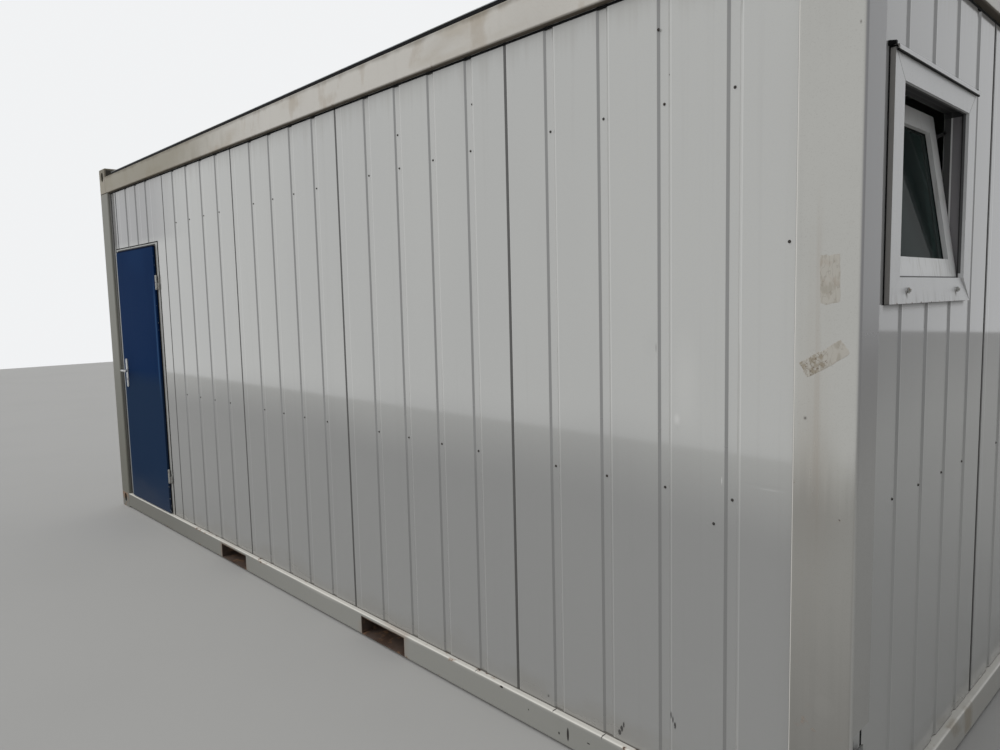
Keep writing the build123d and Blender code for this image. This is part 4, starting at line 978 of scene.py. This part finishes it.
tilt = np.radians(9.2)
sash_out = np.array([np.cos(tilt), 0, np.sin(tilt)])
sash_up = np.array([-np.sin(tilt), 0, np.cos(tilt)])
pivot = np.array([opening_low.x + 0.006, opening_y, opening_low.z + 0.0397 + 0.007])
sash_wide, sash_tall, stile, sash_deep = 0.604, 0.546, 0.062, 0.05


def on_sash(across, up, out):
    """A place on the tilted sash, from the middle of its foot: across, up and out from its back face."""
    return pivot + np.array([0, 1, 0]) * across + sash_up * up + sash_out * out


gasket_lip = [(-0.004, 0), (0.0015, 0), (0.001, 0.0012), (-0.004, 0.0022)]
pane_half = sash_wide / 2 - stile - 0.0015
glass_gaskets = []
for way in (1, -1):
    depth = sash_deep / 2 + way * 0.01
    path = [on_sash(y, z, depth) for y, z in rectangle(-pane_half, pane_half, stile, sash_tall - stile)]
    glass_gaskets.append(carried(gasket_lip, path, way * sash_out, closed=True))
piece("sash_glazing_gaskets", glass_gaskets, rubber)

dull = Finish("blackened_stay_steel", (34, 34, 35), 0.5)
dull.mottle(1, (90, 4), (0.5, 0.7), (48, 45, 42), 0.65)
dull.close()

stay_bar = [(-0.006, 0), (0.006, 0), (0.006, 0.0018), (-0.006, 0.0018)]
stay_pin = turned([(0, 0), (0.0042, 0), (0.0042, 0.0034), (0.003, 0.0042), (0, 0.0044)], 12)
pin_in = np.array([0.007, 0, 0.003])
stays = []
for side in (-1, 1):
    sash_end = on_sash(side * (sash_wide / 2 + 0.0008), sash_tall - 0.075, 0.028)
    frame_end = sash_end + (0.052, 0, 0.022)
    stays.append(carried(stay_bar, [sash_end, frame_end], (0, side, 0)))
    stays.append(seated(stay_pin, [sash_end + pin_in, frame_end - pin_in], (0, side, 0)))
piece("window_stays", stays, dull)

handle_base = turned([(0, 0), (0.015, 0), (0.015, 0.006), (0.012, 0.01), (0.009, 0.022), (0, 0.024)], 20)
handle_seat = on_sash(0, sash_tall - stile / 2, 0)
bar = np.stack(circle(12), 1) * (0.008, 0.005)
bar_places = ((0.01, 0.022), (0.06, 0.022), (0.115, 0.028))
bar_path = [handle_seat - down * sash_up - back * sash_out for down, back in bar_places]
handle_parts = [seated(handle_base, [handle_seat], -sash_out, (0, 1, 0)), carried(bar, bar_path, sash_out)]
piece("sash_handle", handle_parts, plastic)


# Studio: the camera of the photograph, a plain pale floor, a pale background and soft light. The
# floor's apron, in front of the cabin, stays out of reflections, so the walls mirror pale light.

camera_data = bpy.data.cameras.new("photo_camera")
camera = bpy.data.objects.new("photo_camera", camera_data)
bpy.context.collection.objects.link(camera)
bpy.context.scene.camera = camera
image_wide, image_tall = 1000, 750
focal_pixels, centre_x, centre_y = 748.65, 497.73, 373.81
camera_data.sensor_width = 36
camera_data.lens = focal_pixels * camera_data.sensor_width / image_wide
camera_data.shift_x = (image_wide / 2 - centre_x) / image_wide
camera_data.shift_y = (centre_y - image_tall / 2) / image_wide
yaw, pitch, roll = np.radians([-46.6603, 5.63, -1.3723])
camera.matrix_world = Matrix.Translation((3.7702, -3.1804, 1.6642))
for angle, axis in ((-yaw, "Z"), (np.pi / 2 - pitch, "X"), (roll, "Z")):
    camera.matrix_world = camera.matrix_world @ Matrix.Rotation(angle, 4, axis)

ground = Finish("pale_floor", (166, 165, 162), 0.85)
ground.mottle(0.3, (0.8, 3), (0.4, 0.7), (161, 160, 157))
ground.height = 0.3 * ground.clouds(30, 2)
ground.close()


def ground_sheet(name, near, far):
    """A flat grid of floor from one distance to another along Y."""
    points = lattice(np.linspace(-22, 22, 5), np.linspace(near, far, 5), [0])
    sheet = linked(name, points, grid(5, 5, round_columns=False)[:, ::-1], ground)
    return sheet


apron_edge = -6.3
ground_sheet("studio_floor", apron_edge, 30)
apron = ground_sheet("studio_apron", -30, apron_edge)
apron.visible_glossy = apron.visible_diffuse = apron.visible_shadow = False


class Sky(Finish):
    """The world's nodes, built with the same calls as a finish."""

    def __init__(self, world):
        world.use_nodes = True
        self.tree = world.node_tree
        self.tree.nodes.clear()


world = bpy.data.worlds.new("soft_studio")
bpy.context.scene.world = world
sky = Sky(world)
seen = sky.add("LightPath", out="Is Camera Ray")
for ray in ("Is Glossy Ray", "Is Transmission Ray"):
    seen = seen.larger(sky.add("LightPath", out=ray))
tone = sky.mix(seen, (0.5, 0.51, 0.53, 1), (0.88, 0.89, 0.9, 1))
glow = sky.add("Background", values={"Color": tone, "Strength": 1})
sky.add("OutputWorld", values={"Surface": glow}, out=None)

lamp_data = bpy.data.lights.new("soft_key", "SUN")
lamp_data.energy = 1.9
lamp_data.angle = np.radians(60)
lamp = bpy.data.objects.new("soft_key", lamp_data)
lamp.visible_glossy = False
lamp.rotation_euler = Vector((0.42, 0.72, -0.8)).to_track_quat("-Z", "Y").to_euler()
bpy.context.collection.objects.link(lamp)

bpy.context.scene.view_settings.view_transform = "Standard"
